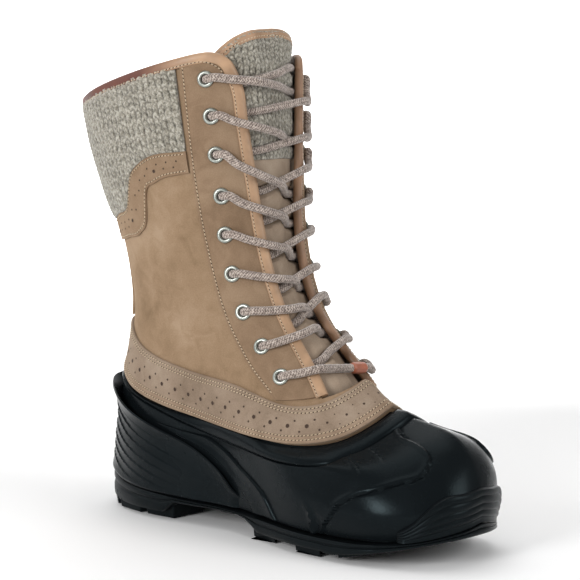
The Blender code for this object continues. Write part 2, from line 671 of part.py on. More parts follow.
def build_shell():
    """Rubber bottom of the boot: side wall, rim roll, and a flange up inside the suede."""
    turn = ring_turns()
    columns = len(turn)
    groove = curve(RIM_GROOVE, fold(turn))
    outside = SHELL_SIDE + tuple((groove + v, o) for v, o in SHELL_GROOVE) + SHELL_RIM
    outer = np.stack([skin(turn, np.ones(columns) * v, o) for v, o in outside], 1)
    inner = np.stack([skin(turn, v, o - SHELL_WALL) for v, o in SHELL_INSIDE], 1)
    walled("rubber_shell", outer, inner, grid(columns, len(outside), closed=True), "rubber")


def build_heel_cup():
    """Raised rubber around the heel, its top edge standing off as a lip."""
    end = HEEL_CUP_TOP[-1][0]
    turn, level = patch(shares_between(end), 8, -end, end, LEVEL_GAP, HEEL_CUP_TOP)
    share = np.linspace(0, 1, turn.shape[1])[None, :]
    sides = np.cos(np.pi * turn) ** 0.5
    out = CUP_SIDE + (curve(HEEL_CUP_SIDE, share) - CUP_SIDE) * sides
    off = CUP_GAP + CUP_LIP * np.clip((share - CUP_LIP_START) / (1 - CUP_LIP_START), 0, 1) * sides
    walled("heel_cup", skin(turn, level, out), skin(turn, level, off), grid(*turn.shape), "rubber")


def build_stabilisers():
    """Raised band on each side, sweeping from the heel's rim down to the waist."""
    for side, name in ((-1, "stabiliser_lateral"), (1, "stabiliser_medial")):
        turn, level = patch(4, 10, STABILISER_REAR, STABILISER_FRONT, LEVEL_GAP, STABILISER_TOP)
        turn[0] += STABILISER_INSET
        walled(name, skin(side * turn, level, STABILISER_OUTSIDE), skin(side * turn, level, STABILISER_INSIDE),
               grid(*turn.shape), "rubber")


def sole_ring(turn, grow, height):
    """Ring of the sole's outline, grown outward, at heights in millimetres."""
    edge = skin(turn, 0.0)
    step = 0.002
    along = skin(turn + step, 0.0) - skin(turn - step, 0.0)
    out = np.stack([along[:, 1], -along[:, 0], np.zeros(len(turn))], -1)
    out /= np.linalg.norm(out, axis=1, keepdims=True)
    ring = edge - out * grow * MM
    ring[:, 2] = height * MM
    return ring


def toe_share(x):
    """How far a place lies from where the sole starts to rise to the tip of the toe."""
    return np.clip((x - SPRING_START) / (TOE_TIP - SPRING_START), 0, 1.2)


def spring(x):
    """Rise of the tread towards the toe and at the back of the heel, in millimetres."""
    heel = np.clip((HEEL_BEVEL_START - x) / (HEEL_BEVEL_START - SECTIONS["feather"][0]), 0, 1.2)
    return TOE_SPRING * toe_share(x) ** TOE_SPRING_POWER + HEEL_BEVEL * heel ** 2


def under_sole(x):
    """Height of the sole's underside between the tread blocks."""
    arch = np.where((x > HEEL_BREAST) & (x < ARCH_END), ARCH_RISE, 0.0)
    toe_rise = TOE_SPRING * toe_share(x) ** TOE_SPRING_POWER
    return LUG_DEPTH * (1 - TOE_LUG_LOSS * toe_share(x) ** 0.5) + arch + toe_rise


def sole_turns():
    """Turns of the sole's rings, with close pairs where the arch begins and ends."""
    row = section(0.0)
    length = row["x_front"] - row["x_back"]

    def turn_at(x):
        side = 1 - 2 * (x - row["x_back"]) / length
        return math.acos(math.copysign(abs(side) ** (1 / FOOT_ROUND), side)) / math.pi

    steps = [turn_at(x) for x in ARCH_SLOPES]
    turns = ring_turns()
    half = turns[(turns > -0.001) & (turns < 1.001)]
    return np.array(sorted([t for t in half if min(abs(t - s) for s in steps) > COLUMN_MERGE] + steps))


def build_outsole():
    """Sole with its ledge and plug, and the tread blocks below."""
    half = sole_turns()
    turn = np.r_[-half[:0:-1], half[:-1]]
    x = skin(turn, 0.0)[:, 0] / MM + MIDDLE_X
    feather = skin(turn, 0.0)[:, 2] / MM
    under = under_sole(x)
    rings = (
        sole_ring(turn, SOLE_EDGE - SOLE_INSET, under),
        sole_ring(turn, SOLE_EDGE, np.minimum(under + SOLE_CHAMFER, feather - SOLE_SIDE_LEAST)),
        sole_ring(turn, SOLE_EDGE, feather - SOLE_DROP),
        sole_ring(turn, -SHELL_WALL - PLUG_GAP, feather - SOLE_DROP),
        sole_ring(turn, -SHELL_WALL - PLUG_GAP - PLUG_DRAFT, feather + PLUG_HEIGHT),
    )
    mesh = bmesh.new()
    loops = [[mesh.verts.new(p) for p in ring] for ring in rings]
    for first, second in zip(loops, loops[1:]):
        bridge_loops(mesh, first, second)
    for loop in (loops[0], loops[-1]):
        close_across(mesh, loop)
    sole = finish("outsole", mesh, "sole")
    join(sole, build_tread())


def close_across(mesh, loop):
    """Cap of a ring that starts at the toe, in strips from side to side."""
    count = len(loop)
    half = count // 2
    for k in range(1, half):
        a, b = loop[half - k], loop[half - k - 1]
        c, d = loop[(half + k + 1) % count], loop[half + k]
        if k == 1:
            mesh.faces.new((loop[half], a, d))
        mesh.faces.new((a, b, c, d) if b is not c else (a, b, d))


def build_tread():
    """All tread blocks, tapered to the ground, as one shape to join."""
    mesh = bmesh.new()
    middle = Vector((MIDDLE_X, 0, 0))
    for outline in OUTER_TREAD + INNER_TREAD + TOE_TREAD + CENTRE_STUDS + HEEL_TREAD:
        corners = [Vector((x, y, 0)) for x, y in outline]
        centre = sum(corners, Vector()) / len(corners)
        low = [centre.lerp(c, TREAD_TAPER) + Vector((0, 0, float(spring(c.x)))) for c in corners]
        high = [c + Vector((0, 0, float(under_sole(c.x)) + TREAD_BURY)) for c in corners]
        add_drum(mesh, [[(p - middle) * MM for p in end] for end in (low, high)])
    return finish("tread_blocks", mesh, "sole")


def build_bumper():
    """Ribbed rubber lip that stands on the sole's ledge, over the toe."""
    turns = ring_turns()
    end = BUMPER_TOP[0][0]
    inside = turns[(turns > end + COLUMN_MERGE) & (turns < 2 - end - COLUMN_MERGE)]
    front = np.r_[end, inside, 2 - end]
    shares = (front - end) / (2 - 2 * end)
    turn, level = patch(shares, len(BUMPER_RIBS), end, 2 - end, LEVEL_GAP, BUMPER_TOP)
    walled("toe_bumper", skin(turn, level, np.array(BUMPER_RIBS)[None, :]), skin(turn, level, BUMPER_GAP),
           grid(*turn.shape), "sole")


def build_footbed():
    """Insole that lies on the sole's plug."""
    half = sole_turns()
    turn = np.r_[-half[:0:-1], half[:-1]]
    feather = skin(turn, 0.0)[:, 2] / MM
    floor = feather + PLUG_HEIGHT + GAP
    mesh = bmesh.new()
    loops = []
    for height in (floor, floor + FOOTBED_THICKNESS):
        ring = sole_ring(turn, -SHELL_WALL - FOOTBED_GAP, height)
        loops.append([mesh.verts.new(p) for p in ring])
    bridge_loops(mesh, loops[0], loops[1])
    for loop in loops:
        close_across(mesh, loop)
    finish("footbed", mesh, "foam")


def main():
    """Build the boot in an empty scene."""
    for old in list(bpy.data.objects):
        bpy.data.objects.remove(old)
    build_shell()
    build_heel_cup()
    build_stabilisers()
    build_outsole()
    build_bumper()
    build_footbed()
    build_upper()
    build_overlays()
    build_binding()
    build_tongue()
    build_eyelets()
    build_laces()


main()
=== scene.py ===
"""Looks of the winter boot: right foot, rubber shell, laced suede shaft, knit cuff, lug sole.

Metres, +X to the toe, +Y to the inner side of the foot, +Z up. Sizes with MM beside them are in
millimetres. Every curved piece is cut from one surface, the outside of the last, as in the solids.
"""
import math

import bpy
import numpy as np
from mathutils import Matrix, Vector
from mathutils.kdtree import KDTree


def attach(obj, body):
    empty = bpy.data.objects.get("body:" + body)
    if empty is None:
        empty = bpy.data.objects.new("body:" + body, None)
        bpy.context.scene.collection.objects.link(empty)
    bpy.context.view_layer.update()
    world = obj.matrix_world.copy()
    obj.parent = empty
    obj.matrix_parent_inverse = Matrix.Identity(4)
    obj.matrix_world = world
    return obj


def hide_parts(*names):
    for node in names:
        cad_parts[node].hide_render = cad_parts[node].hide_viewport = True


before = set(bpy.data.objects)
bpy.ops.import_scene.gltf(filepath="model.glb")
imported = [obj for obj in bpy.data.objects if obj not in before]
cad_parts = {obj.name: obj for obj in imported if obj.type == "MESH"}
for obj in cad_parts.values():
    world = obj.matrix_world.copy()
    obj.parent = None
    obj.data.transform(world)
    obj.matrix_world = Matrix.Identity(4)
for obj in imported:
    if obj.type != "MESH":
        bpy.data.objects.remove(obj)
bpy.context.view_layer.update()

# Camera, floor and light. The lens stands low in front of the boot's outer side, as for the
# photograph, and a pale floor sweeps up behind it. Four soft boxes light the boot without hard
# shadows, and a fifth lamp whitens the backdrop.
EYE = (0.7683, -0.8302, 0.2490)
EYE_TURN = math.radians(42.54)
EYE_DOWN = math.radians(5.53)
PHOTO_PIXELS = 580
FOCAL_PIXELS = 1934
bpy.ops.object.select_all(action="DESELECT")
bpy.ops.object.camera_add(location=EYE, rotation=(math.pi / 2 - EYE_DOWN, 0, EYE_TURN))
camera = bpy.context.object
camera.data.sensor_fit = "HORIZONTAL"
camera.data.lens = camera.data.sensor_width * FOCAL_PIXELS / PHOTO_PIXELS
camera.data.clip_start = 0.01
bpy.context.scene.camera = camera

BOOT = (0.0, 0.0, 0.12)
LAMPS = (
    # place, aim, width, watts
    ((0.12, -1.79, 0.66), BOOT, 0.6, 20.0),
    ((1.60, 0.30, 0.90), BOOT, 0.8, 10.0),
    ((-0.30, 0.10, 1.60), BOOT, 1.4, 8.5),
    ((-1.30, -0.90, 0.70), BOOT, 0.9, 3.0),
    ((-0.90, 1.00, 2.20), (-3.0, 3.2, 0.9), 2.0, 220.0),
)
for place, aim, width, watts in LAMPS:
    bpy.ops.object.light_add(type="AREA", location=place)
    lamp = bpy.context.object
    lamp.rotation_euler = (Vector(aim) - Vector(place)).to_track_quat("-Z", "Y").to_euler()
    lamp.data.size = width
    lamp.data.energy = watts
WORLD_STRENGTH = 0.38
world = bpy.data.worlds.new("studio")
world.use_nodes = True
world.node_tree.nodes["Background"].inputs["Color"].default_value = (1.0, 1.0, 1.0, 1)
world.node_tree.nodes["Background"].inputs["Strength"].default_value = WORLD_STRENGTH
bpy.context.scene.world = world
bpy.context.scene.view_settings.view_transform = "Standard"


def start_material(name, **values):
    """Material with a shader, whose own sockets take the named constant values."""
    material = bpy.data.materials.new(name)
    material.use_nodes = True
    shader = material.node_tree.nodes["Principled BSDF"]
    for socket, value in values.items():
        shader.inputs[socket.replace("_", " ")].default_value = value
    return material, material.node_tree, shader


FLOOR_SIZE = 9.0
FLOOR_DROP = 0.0003
SWEEP_RADIUS = 2.0
bpy.ops.mesh.primitive_plane_add(size=FLOOR_SIZE, location=(0, 0, -FLOOR_DROP))
floor = bpy.context.object
floor.name = "floor"
bpy.ops.object.mode_set(mode="EDIT")
bpy.ops.mesh.select_all(action="DESELECT")
bpy.ops.object.mode_set(mode="OBJECT")
for edge in floor.data.edges:
    ends = [floor.data.vertices[i].co for i in edge.vertices]
    edge.select = all(end.y > 0 for end in ends)
bpy.ops.object.mode_set(mode="EDIT")
bpy.ops.mesh.extrude_region_move(TRANSFORM_OT_translate={"value": (0, 0, FLOOR_SIZE / 2)})
bpy.ops.object.mode_set(mode="OBJECT")
sweep = floor.modifiers.new("sweep", "BEVEL")
sweep.width = SWEEP_RADIUS
sweep.segments = 12
sweep.limit_method = "ANGLE"
bpy.ops.object.modifier_apply(modifier="sweep")
floor.data.shade_smooth()
bpy.ops.transform.rotate(value=-EYE_TURN, orient_axis="Z", center_override=(0, 0, 0))
bpy.ops.object.transform_apply(location=True, rotation=True, scale=True)
floor_paint, _, _ = start_material("floor_paint", Base_Color=(0.95, 0.95, 0.95, 1), Roughness=0.8)
floor.data.materials.append(floor_paint)


# Outsole. One moulded rubber tread with a ledge that the shell stands on, a plug inside the shell,
# and deep lugs: chevrons on the outer side, notched squares on the inner side, studs between.
MM = 0.001
BALL_WIDTH = 108.0
MIDDLE_X = -7.5
SECTION_COLUMNS = ("x_back", "z_back", "x_front", "z_front", "width", "dip", "foot")
SECTIONS = {
    # width is a share of the ball's, dip lowers the sides, foot is how far the outline counts
    "feather": (-134, 23, 137, 23, 0.93, 10, 1.00),
    "wall": (-133, 45, 139, 43, 1.00, 15, 1.00),
    "shoulder": (-131, 67, 118, 67, 0.93, 20, 0.95),
    "topline": (-129, 87, 78, 78, 0.85, 22, 0.60),
    "instep": (-124, 107, 48, 101, 0.78, 10, 0.30),
    "ankle": (-121, 131, 17, 131, 0.74, 3, 0.10),
    "low_shaft": (-125, 161, 1, 169, 0.80, 0, 0.00),
    "mid_shaft": (-140, 205, -5, 219, 0.89, 0, 0.00),
    "collar": (-157, 247, -9, 284, 0.96, 0, 0.00),
    "tongue_top": (-164, 262, -14, 303, 0.96, 0, 0.00),
}
# Share of the length from heel to toe, then the outer and the inner half width over the ball's
OUTLINE = ((0.00, 0.86, 0.86), (0.15, 0.86, 0.86), (0.30, 0.72, 0.68), (0.42, 0.64, 0.58),
           (0.55, 0.78, 0.68), (0.68, 0.97, 0.90), (0.78, 1.06, 1.04), (0.90, 1.18, 1.20),
           (1.00, 1.16, 1.20))
# Turn, then how much of the dip shows there
DIP = ((0.00, 0.00), (0.12, 0.08), (0.25, 0.46), (0.40, 0.78), (0.55, 0.95), (0.70, 1.00),
       (0.82, 0.75), (0.92, 0.33), (1.00, 0.00))
# The toe's inner side: level, then how far it swells towards the front and the inner side, mm
TOE_SWELL = ((0.0, -4.0), (0.5, -3.5), (1.0, -2.0), (1.5, 3.0), (2.0, 6.0), (2.5, 4.5), (3.0, 0.0),
             (9.0, 0.0))
TOE_SWELL_TURN = 0.90
TOE_SWELL_REACH = 0.10
TOE_SWELL_WAY = (0.74, 0.67)
SHAFT_ROUND = 0.95
FOOT_ROUND = 0.82


def curve(table, where, column=1):
    """Smooth value of a table's column at a place along its first column."""
    table = np.asarray(table, float)
    knots = table[:, 0]
    values = table[:, column]
    where = np.clip(np.asarray(where, float), knots[0], knots[-1])
    i = np.clip(np.searchsorted(knots, where, side="right") - 1, 0, len(knots) - 2)
    slope = np.gradient(values, knots)
    step = knots[i + 1] - knots[i]
    t = (where - knots[i]) / step
    ahead = t * t * (3 - 2 * t) * values[i + 1] + t * t * (t - 1) * step * slope[i + 1]
    behind = (1 + 2 * t) * (1 - t) ** 2 * values[i] + t * (1 - t) ** 2 * step * slope[i]
    return ahead + behind


def section(level):
    """Named sizes of the last at a level, smooth between the rows."""
    rows = np.array(list(SECTIONS.values()))
    table = np.column_stack([np.arange(len(rows)), rows])
    return {name: curve(table, level, k + 1) for k, name in enumerate(SECTION_COLUMNS)}


def last_point(turn, level):
    """Point of the last's surface in millimetres: turn 0 heel, 1 toe, minus outer; level 0 to 9."""
    turn = (turn + 1) % 2 - 1
    row = section(level)
    angle = np.pi * np.abs(turn)
    cosine = np.cos(angle)
    power = SHAFT_ROUND + (FOOT_ROUND - SHAFT_ROUND) * row["foot"]
    along = (1 - np.sign(cosine) * np.abs(cosine) ** power) / 2
    outline = np.where(turn < 0, curve(OUTLINE, along, 1), curve(OUTLINE, along, 2))
    width = row["width"] * BALL_WIDTH / 2 * (1 + row["foot"] * (outline - 1))
    x = row["x_back"] + (row["x_front"] - row["x_back"]) * along
    y = np.sign(turn) * np.abs(np.sin(angle)) ** power * width
    z = row["z_back"] + (row["z_front"] - row["z_back"]) * along - row["dip"] * curve(DIP, np.abs(turn))
    aside = ((turn - TOE_SWELL_TURN + 1) % 2 - 1) / TOE_SWELL_REACH
    swell = curve(TOE_SWELL, level) * np.exp(-aside ** 2)
    return np.stack([x + swell * TOE_SWELL_WAY[0], y + swell * TOE_SWELL_WAY[1], z], -1)


def skin(turn, level, offset=0.0):
    """Points in metres, an offset in millimetres out from the last at a turn and a level."""
    turn, level, offset = np.broadcast_arrays(*(np.asarray(v, float) for v in (turn, level, offset)))
    step = 0.001
    top = len(SECTIONS) - 1
    across = last_point(turn + step, level) - last_point(turn - step, level)
    up = last_point(turn, np.minimum(level + step, top)) - last_point(turn, np.maximum(level - step, 0))
    normal = np.cross(up, across)
    normal /= np.linalg.norm(normal, axis=-1, keepdims=True)
    return (last_point(turn, level) + normal * offset[..., None] - (MIDDLE_X, 0, 0)) * MM


def fold(turn):
    """Size of a turn, the same on both sides of the foot."""
    return np.abs((turn + 1) % 2 - 1)


def new_piece(name, points, faces, paints, marks=None, sharp=35):
    """Object of a mesh with materials and point attributes, all quads smooth, sharp past an angle."""
    data = bpy.data.meshes.new(name)
    data.from_pydata(np.reshape(points, (-1, 3)), [], faces)
    for mark, values in (marks or {}).items():
        layer = data.attributes.new(mark, "FLOAT", "POINT")
        layer.data.foreach_set("value", np.ascontiguousarray(values, np.float32).ravel())
    data.shade_smooth()
    data.set_sharp_from_angle(angle=math.radians(sharp))
    for paint in paints:
        data.materials.append(paint)
    made = bpy.data.objects.new(name, data)
    bpy.context.collection.objects.link(made)
    return made


def grid_faces(columns, rows, wrap=False, kept=None):
    """Quads of a grid of points that runs up each column in turn, less the cells not kept."""
    i, j = np.meshgrid(np.arange(columns if wrap else columns - 1), np.arange(rows - 1), indexing="ij")
    a = i * rows + j
    b = (i + 1) % columns * rows + j
    quads = np.stack([a, a + 1, b + 1, b], -1)
    return quads[kept] if kept is not None else quads.reshape(-1, 4)


def shell_piece(name, outer, inner, paints, marks=None, wrap=False, kept=None):
    """Closed wall between an outer and an inner grid of points, rimmed along its free edges."""
    columns, rows = outer.shape[:2]
    quads = grid_faces(columns, rows, wrap, kept)
    count = columns * rows
    start = quads.ravel()
    end = np.roll(quads, -1, axis=1).ravel()
    free = ~np.isin(start * count + end, end * count + start)
    rim = np.stack([end[free], start[free], start[free] + count, end[free] + count], -1)
    faces = np.concatenate([quads, quads[:, ::-1] + count, rim])
    points = np.concatenate([outer.reshape(-1, 3), inner.reshape(-1, 3)])
    doubled = {k: np.concatenate([np.ravel(np.broadcast_to(v, outer.shape[:2])), np.zeros(count)])
               for k, v in (marks or {}).items()}
    used = np.unique(faces)
    renumber = np.zeros(2 * count, int)
    renumber[used] = np.arange(len(used))
    made = new_piece(name, points[used], renumber[faces].tolist(), paints,
                     {k: v[used] for k, v in doubled.items()})
    if len(paints) > 1:
        slots = np.zeros(len(faces), np.int32)
        slots[len(quads):2 * len(quads)] = 1
        made.data.polygons.foreach_set("material_index", slots)
    return made


def smooth_step(low, high, value):
    """Soft rise from 0 to 1 between two values."""
    share = np.clip((value - low) / (high - low), 0, 1)
    return share * share * (3 - 2 * share)


SOLE_EDGE = 5.0
LUG_DEPTH = 9.0
LUG_BURIED = 1.5
HEEL_BREAST = -62.0
ARCH_END = 0.0
ARCH_RISE = 2.2
HEEL_BEVEL_START = -98.0
HEEL_BEVEL = 4.0
SPRING_START = 70.0
TOE_SPRING = 16.0
TOE_SPRING_POWER = 1.15
TOE_TIP = 142.0
TOE_LUG_LOSS = 0.85
SHELL_WALL = 3.6
SOLE_DROP = 1.2
PLUG_HEIGHT = 7.0


def add_node(tree, kind, inputs=None, **settings):
    """Node of a material, its settings by name and its inputs as values or as sockets to link."""
    made = tree.nodes.new(kind)
    for name, value in settings.items():
        setattr(made, name, value)
    for name, value in (inputs or {}).items():
        if isinstance(value, bpy.types.NodeSocket):
            tree.links.new(value, made.inputs[name])
        else:
            made.inputs[name].default_value = value
    return made


def noise(tree, place, scale, detail, **more):
    """Value of a noise texture, finer with a larger scale."""
    inputs = {"Vector": place, "Scale": scale, "Detail": detail, **more}
    return add_node(tree, "ShaderNodeTexNoise", inputs).outputs["Fac"]


def shade(colour, times, lift=0.0):
    """Colour made darker or lighter."""
    return tuple(min(1, v * times + lift) for v in colour[:3]) + (1,)


def mix(tree, share, first, second, blend="MIX"):
    """Colour between two others, each a value or a socket."""
    inputs = {"Factor": share, 6: first, 7: second}
    return add_node(tree, "ShaderNodeMix", inputs, data_type="RGBA", blend_type=blend).outputs[2]


def rescale(tree, value, low, high, start=0.3, end=0.7):
    """Value that runs from low to high while another one runs from a start to an end."""
    inputs = {"Value": value, "From Min": start, "From Max": end, "To Min": low, "To Max": high}
    return add_node(tree, "ShaderNodeMapRange", inputs).outputs["Result"]


def bump_normal(tree, height, strength, distance):
    """Normal of a bump, its distance in metres."""
    inputs = {"Height": height, "Strength": strength, "Distance": distance}
    return add_node(tree, "ShaderNodeBump", inputs).outputs["Normal"]


def drive(tree, shader, **sources):
    """Links from outputs to the shader's named sockets."""
    for socket, source in sources.items():
        tree.links.new(source, shader.inputs[socket.replace("_", " ")])


def rubber(name, colour, stipple, gloss):
    """Moulded rubber: dark, satin, a fine stippled skin, faint dust and scuffs."""
    material, tree, paint = start_material(name, Specular_IOR_Level=0.09, IOR=1.5,
                                           Specular_Tint=(0.70, 0.93, 1.0, 1))
    place = add_node(tree, "ShaderNodeTexCoord").outputs["Object"]
    grain = noise(tree, place, 1100.0, 3.0)
    cloud = noise(tree, place, 38.0, 5.0)
    drive(tree, paint, Base_Color=mix(tree, cloud, colour, shade(colour, 1.5, 0.001)),
          Roughness=rescale(tree, cloud, gloss - 0.05, gloss + 0.07),
          Normal=bump_normal(tree, grain, stipple, 0.0004))
    return material


sole_rubber = rubber("sole_rubber", (0.0032, 0.0041, 0.0048, 1), 0.15, 0.34)


def sole_ring(turn, grow, height):
    """Ring of the sole's outline, grown outward, at heights in millimetres."""
    edge = skin(turn, 0.0)
    along = skin(turn + 0.002, 0.0) - skin(turn - 0.002, 0.0)
    out = np.stack([along[:, 1], -along[:, 0], np.zeros(len(turn))], -1)
    out /= np.linalg.norm(out, axis=1, keepdims=True)
    ring = edge - out * np.asarray(grow)[..., None] * MM
    ring[:, 2] = height * MM
    return ring


def toe_share(x):
    """How far a place lies from where the sole starts to rise to the tip of the toe."""
    return np.clip((x - SPRING_START) / (TOE_TIP - SPRING_START), 0, 1.2)


def spring(x):
    """Rise of the tread towards the toe and at the back of the heel, in millimetres."""
    heel = np.clip((HEEL_BEVEL_START - x) / (HEEL_BEVEL_START - SECTIONS["feather"][0]), 0, 1.2)
    return TOE_SPRING * toe_share(x) ** TOE_SPRING_POWER + HEEL_BEVEL * heel ** 2


def under_sole(x):
    """Height of the sole's underside between the lugs."""
    arch = ARCH_RISE * smooth_step(HEEL_BREAST - 2, HEEL_BREAST + 2, x) * (
        1 - smooth_step(ARCH_END - 2, ARCH_END + 5, x))
    toe_rise = TOE_SPRING * toe_share(x) ** TOE_SPRING_POWER
    return LUG_DEPTH * (1 - TOE_LUG_LOSS * toe_share(x) ** 0.5) + arch + toe_rise


def stack_rings(name, rings, paints, sharp):
    """Solid of stacked rings, its first and last ring closed by strips from side to side."""
    body = np.stack(rings, 1)
    columns, rows = body.shape[:2]
    faces = grid_faces(columns, rows, wrap=True).tolist()
    half = columns // 2
    for row, flip in ((0, True), (rows - 1, False)):
        for k in range(half):
            corners = [half - k, half - k - 1, (half + k + 1) % columns, (half + k) % columns]
            corners = [v for i, v in enumerate(corners) if v not in corners[:i]]
            strip = [v * rows + row for v in corners]
            faces.append(strip[::-1] if flip else strip)
    return new_piece(name, body, faces, paints, sharp=sharp)


SOLE_COLUMNS = 240
# How far in from the ledge's edge the underside ends and the rim's wall stands, and how far that
# wall hangs down between the lugs of the heel and of the forefoot
UNDER_INSET = 10.0
SKIRT_INSET = 8.5
SKIRT = 4.8
# How far out from the ledge's edge, then the share of the side's height, from the underside up
SOLE_SIDE = ((-3.0, 0.00), (-0.9, 0.04), (-0.25, 0.14), (0.0, 0.28), (0.0, 0.50), (-0.3, 0.57),
             (-0.9, 0.62), (-0.9, 0.68), (-0.2, 0.74), (0.0, 0.80), (0.0, 0.93), (-0.4, 1.00))
turn = np.linspace(-1, 1, SOLE_COLUMNS, endpoint=False)
place_x = skin(turn, 0.0)[:, 0] / MM + MIDDLE_X
feather = skin(turn, 0.0)[:, 2] / MM
under = under_sole(place_x)
ledge = feather - SOLE_DROP
heel_share = 1 - smooth_step(HEEL_BREAST - 8, HEEL_BREAST, place_x)
forefoot_share = smooth_step(ARCH_END + 4, ARCH_END + 14, place_x)
skirt = under - SKIRT * (heel_share + forefoot_share) * (1 - toe_share(place_x)).clip(0, 1)
rings = [sole_ring(turn, SOLE_EDGE - UNDER_INSET, under), sole_ring(turn, SOLE_EDGE - SKIRT_INSET, skirt)]
rings += [sole_ring(turn, SOLE_EDGE + out, skirt + (ledge - skirt) * share) for out, share in SOLE_SIDE]
rings.append(sole_ring(turn, -SHELL_WALL - 0.9, ledge))
rings.append(sole_ring(turn, -SHELL_WALL - 1.2, feather + PLUG_HEIGHT))
outsole = stack_rings("outsole_body", rings, [sole_rubber], 40)

# Corners of the lugs as (x, y) seen from above, before the last is centred
CHEVRON_LUGS = (
    ((109.5, -3), (94, -6), (104, -24), (107, -42), (124, -32), (112.5, -20.5)),
    ((85.5, -8.5), (69, -11.5), (77.5, -31), (79, -50), (103, -45), (86, -27), (82.5, -37)),
    ((55, -12.5), (38, -11), (45, -47), (67, -50), (53, -28.5), (49.5, -40)),
    ((19.5, -12), (-1, -6.5), (3, -36.5), (26, -42), (15, -25), (10, -34)),
)
SQUARE_LUGS = (
    ((126, 26), (117, 20), (104.5, 22), (104, 44), (116, 37)),
    ((101, 35), (89, 23.5), (75.5, 24), (75, 48), (101, 46)),
    ((70, 38), (63.5, 23.5), (45.5, 23), (43.5, 41), (70, 47)),
    ((39, 33), (32, 19), (20, 17), (14, 31), (38, 40)),
)
TOE_LUGS = (
    ((131, 22), (122.5, 15.5), (128, 1), (139, 1), (136.5, 11)),
    ((139.5, -3), (127.5, -3), (120, -20), (128, -28), (136, -17)),
)
STUDS = (
    ((122, 6), (119, 1), (111, 0.5), (115, 6)),
    ((119, -6), (117.5, -12), (112.8, -13), (113, -8.5)),
    ((109.5, 12), (107, 5), (101.5, 2.5), (103.5, 12)),
    ((99, 30), (97.5, 16), (91, 14), (93, 24)),
    ((91, 6.5), (89, -1), (85.5, -3), (87, 4)),
    ((83, 16), (80, 6), (75.5, -0.5), (75.5, 16)),
    ((73.5, 33), (72.5, 20), (66, 18), (68.5, 26)),
    ((67, 8), (66, -1), (62.5, -2), (63.5, 4)),
    ((57, 17), (54, 4), (49.5, 0), (48, 14), (51, 18)),
    ((41.5, 31), (41, 18), (34.5, 15), (37, 24)),
    ((42, 7), (41, -1), (38, -2.5), (38, 5)),
    ((31, 11), (29, -2), (23, -2), (24, 10)),
    ((12.5, 26), (16, 13), (15.5, 10), (9.5, 10.5)),
    ((21, -5), (14, -2), (9, 0), (11, -5)),
)
HEEL_LUGS = (
    ((-64, -35), (-64, -8), (-84, -8), (-88, -36)),
    ((-64, 4), (-64, 34), (-88, 35), (-84, 4)),
    ((-92, -36), (-89, -14), (-104, -14), (-113, -34)),
    ((-92, 36), (-113, 34), (-104, 12), (-89, 12)),
    ((-117, -32), (-108, -14), (-122, -3), (-135, -10), (-131, -21)),
    ((-117, 32), (-131, 21), (-135, 9), (-122, 1), (-108, 13)),
)


def lugs(name, outlines, taper, lift=0.0, width=0.8):
    """Blocks under the sole that narrow to the ground, their edges rounded."""
    points = []
    faces = []
    for outline in outlines:
        corners = np.array(outline, float)
        centre = corners.mean(axis=0)
        foot = centre + (corners - centre) * taper
        start = len(points)
        count = len(corners)
        for (x, y), z in zip(foot, spring(corners[:, 0]) + lift):
            points.append((x - MIDDLE_X, y, z))
        for (x, y), z in zip(corners, under_sole(corners[:, 0]) + LUG_BURIED):
            points.append((x - MIDDLE_X, y, z))
        area = sum((corners[i, 0] * corners[(i + 1) % count, 1]
                    - corners[(i + 1) % count, 0] * corners[i, 1]) for i in range(count))
        order = list(range(count)) if area > 0 else list(range(count))[::-1]
        faces.append([start + i for i in order[::-1]])
        faces.append([start + count + i for i in order])
        for i, j in zip(order, order[1:] + order[:1]):
            faces.append([start + i, start + j, start + count + j, start + count + i])
    made = new_piece(name, np.array(points) * MM, faces, [sole_rubber], sharp=30)
    rounding = made.modifiers.new("rounding", "BEVEL")
    rounding.width = width * MM
    rounding.segments = 2
    rounding.limit_method = "ANGLE"
    bpy.context.view_layer.objects.active = made
    bpy.ops.object.modifier_apply(modifier="rounding")
    return made


def merge(first, *others):
    """Join pieces into the first, so that they are one piece of several closed shapes."""
    bpy.ops.object.select_all(action="DESELECT")
    for piece in (first,) + others:
        piece.select_set(True)
    bpy.context.view_layer.objects.active = first
    bpy.ops.object.join()
    bpy.ops.object.select_all(action="DESELECT")
    return first


tread = [
    lugs("chevrons", CHEVRON_LUGS, 0.93),
    lugs("squares", SQUARE_LUGS, 0.93),
    lugs("toe_blocks", TOE_LUGS, 0.93),
    lugs("studs", STUDS, 0.78, width=0.5),
    lugs("heel_blocks", HEEL_LUGS, 0.93),
]
WAIST_RIBS = 8
ribs = []
for k in range(WAIST_RIBS):
    y = -9.0 - 3.3 * k
    ribs.append(((-34 + 1.2 * k, y), (-34 + 1.2 * k, y - 1.6), (-6, y - 1.6), (-6, y)))
tread.append(lugs("waist_ribs", ribs, 0.97, lift=ARCH_RISE + 7.6, width=0.3))
frame_bars = (((-30, 20), (-30, 22), (-4, 14), (-4, 12)), ((-30, 9), (-30, 11), (-4, 3), (-4, 1)),
              ((-30, 11), (-30, 20), (-28, 20), (-28, 11)), ((-6, 3), (-6, 12), (-4, 12), (-4, 3)))
tread.append(lugs("waist_frame", frame_bars, 1.0, lift=ARCH_RISE + 7.8, width=0.3))
outsole = merge(outsole, *tread)
outsole.name = "outsole_dressed"
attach(outsole, "root")
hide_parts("outsole")

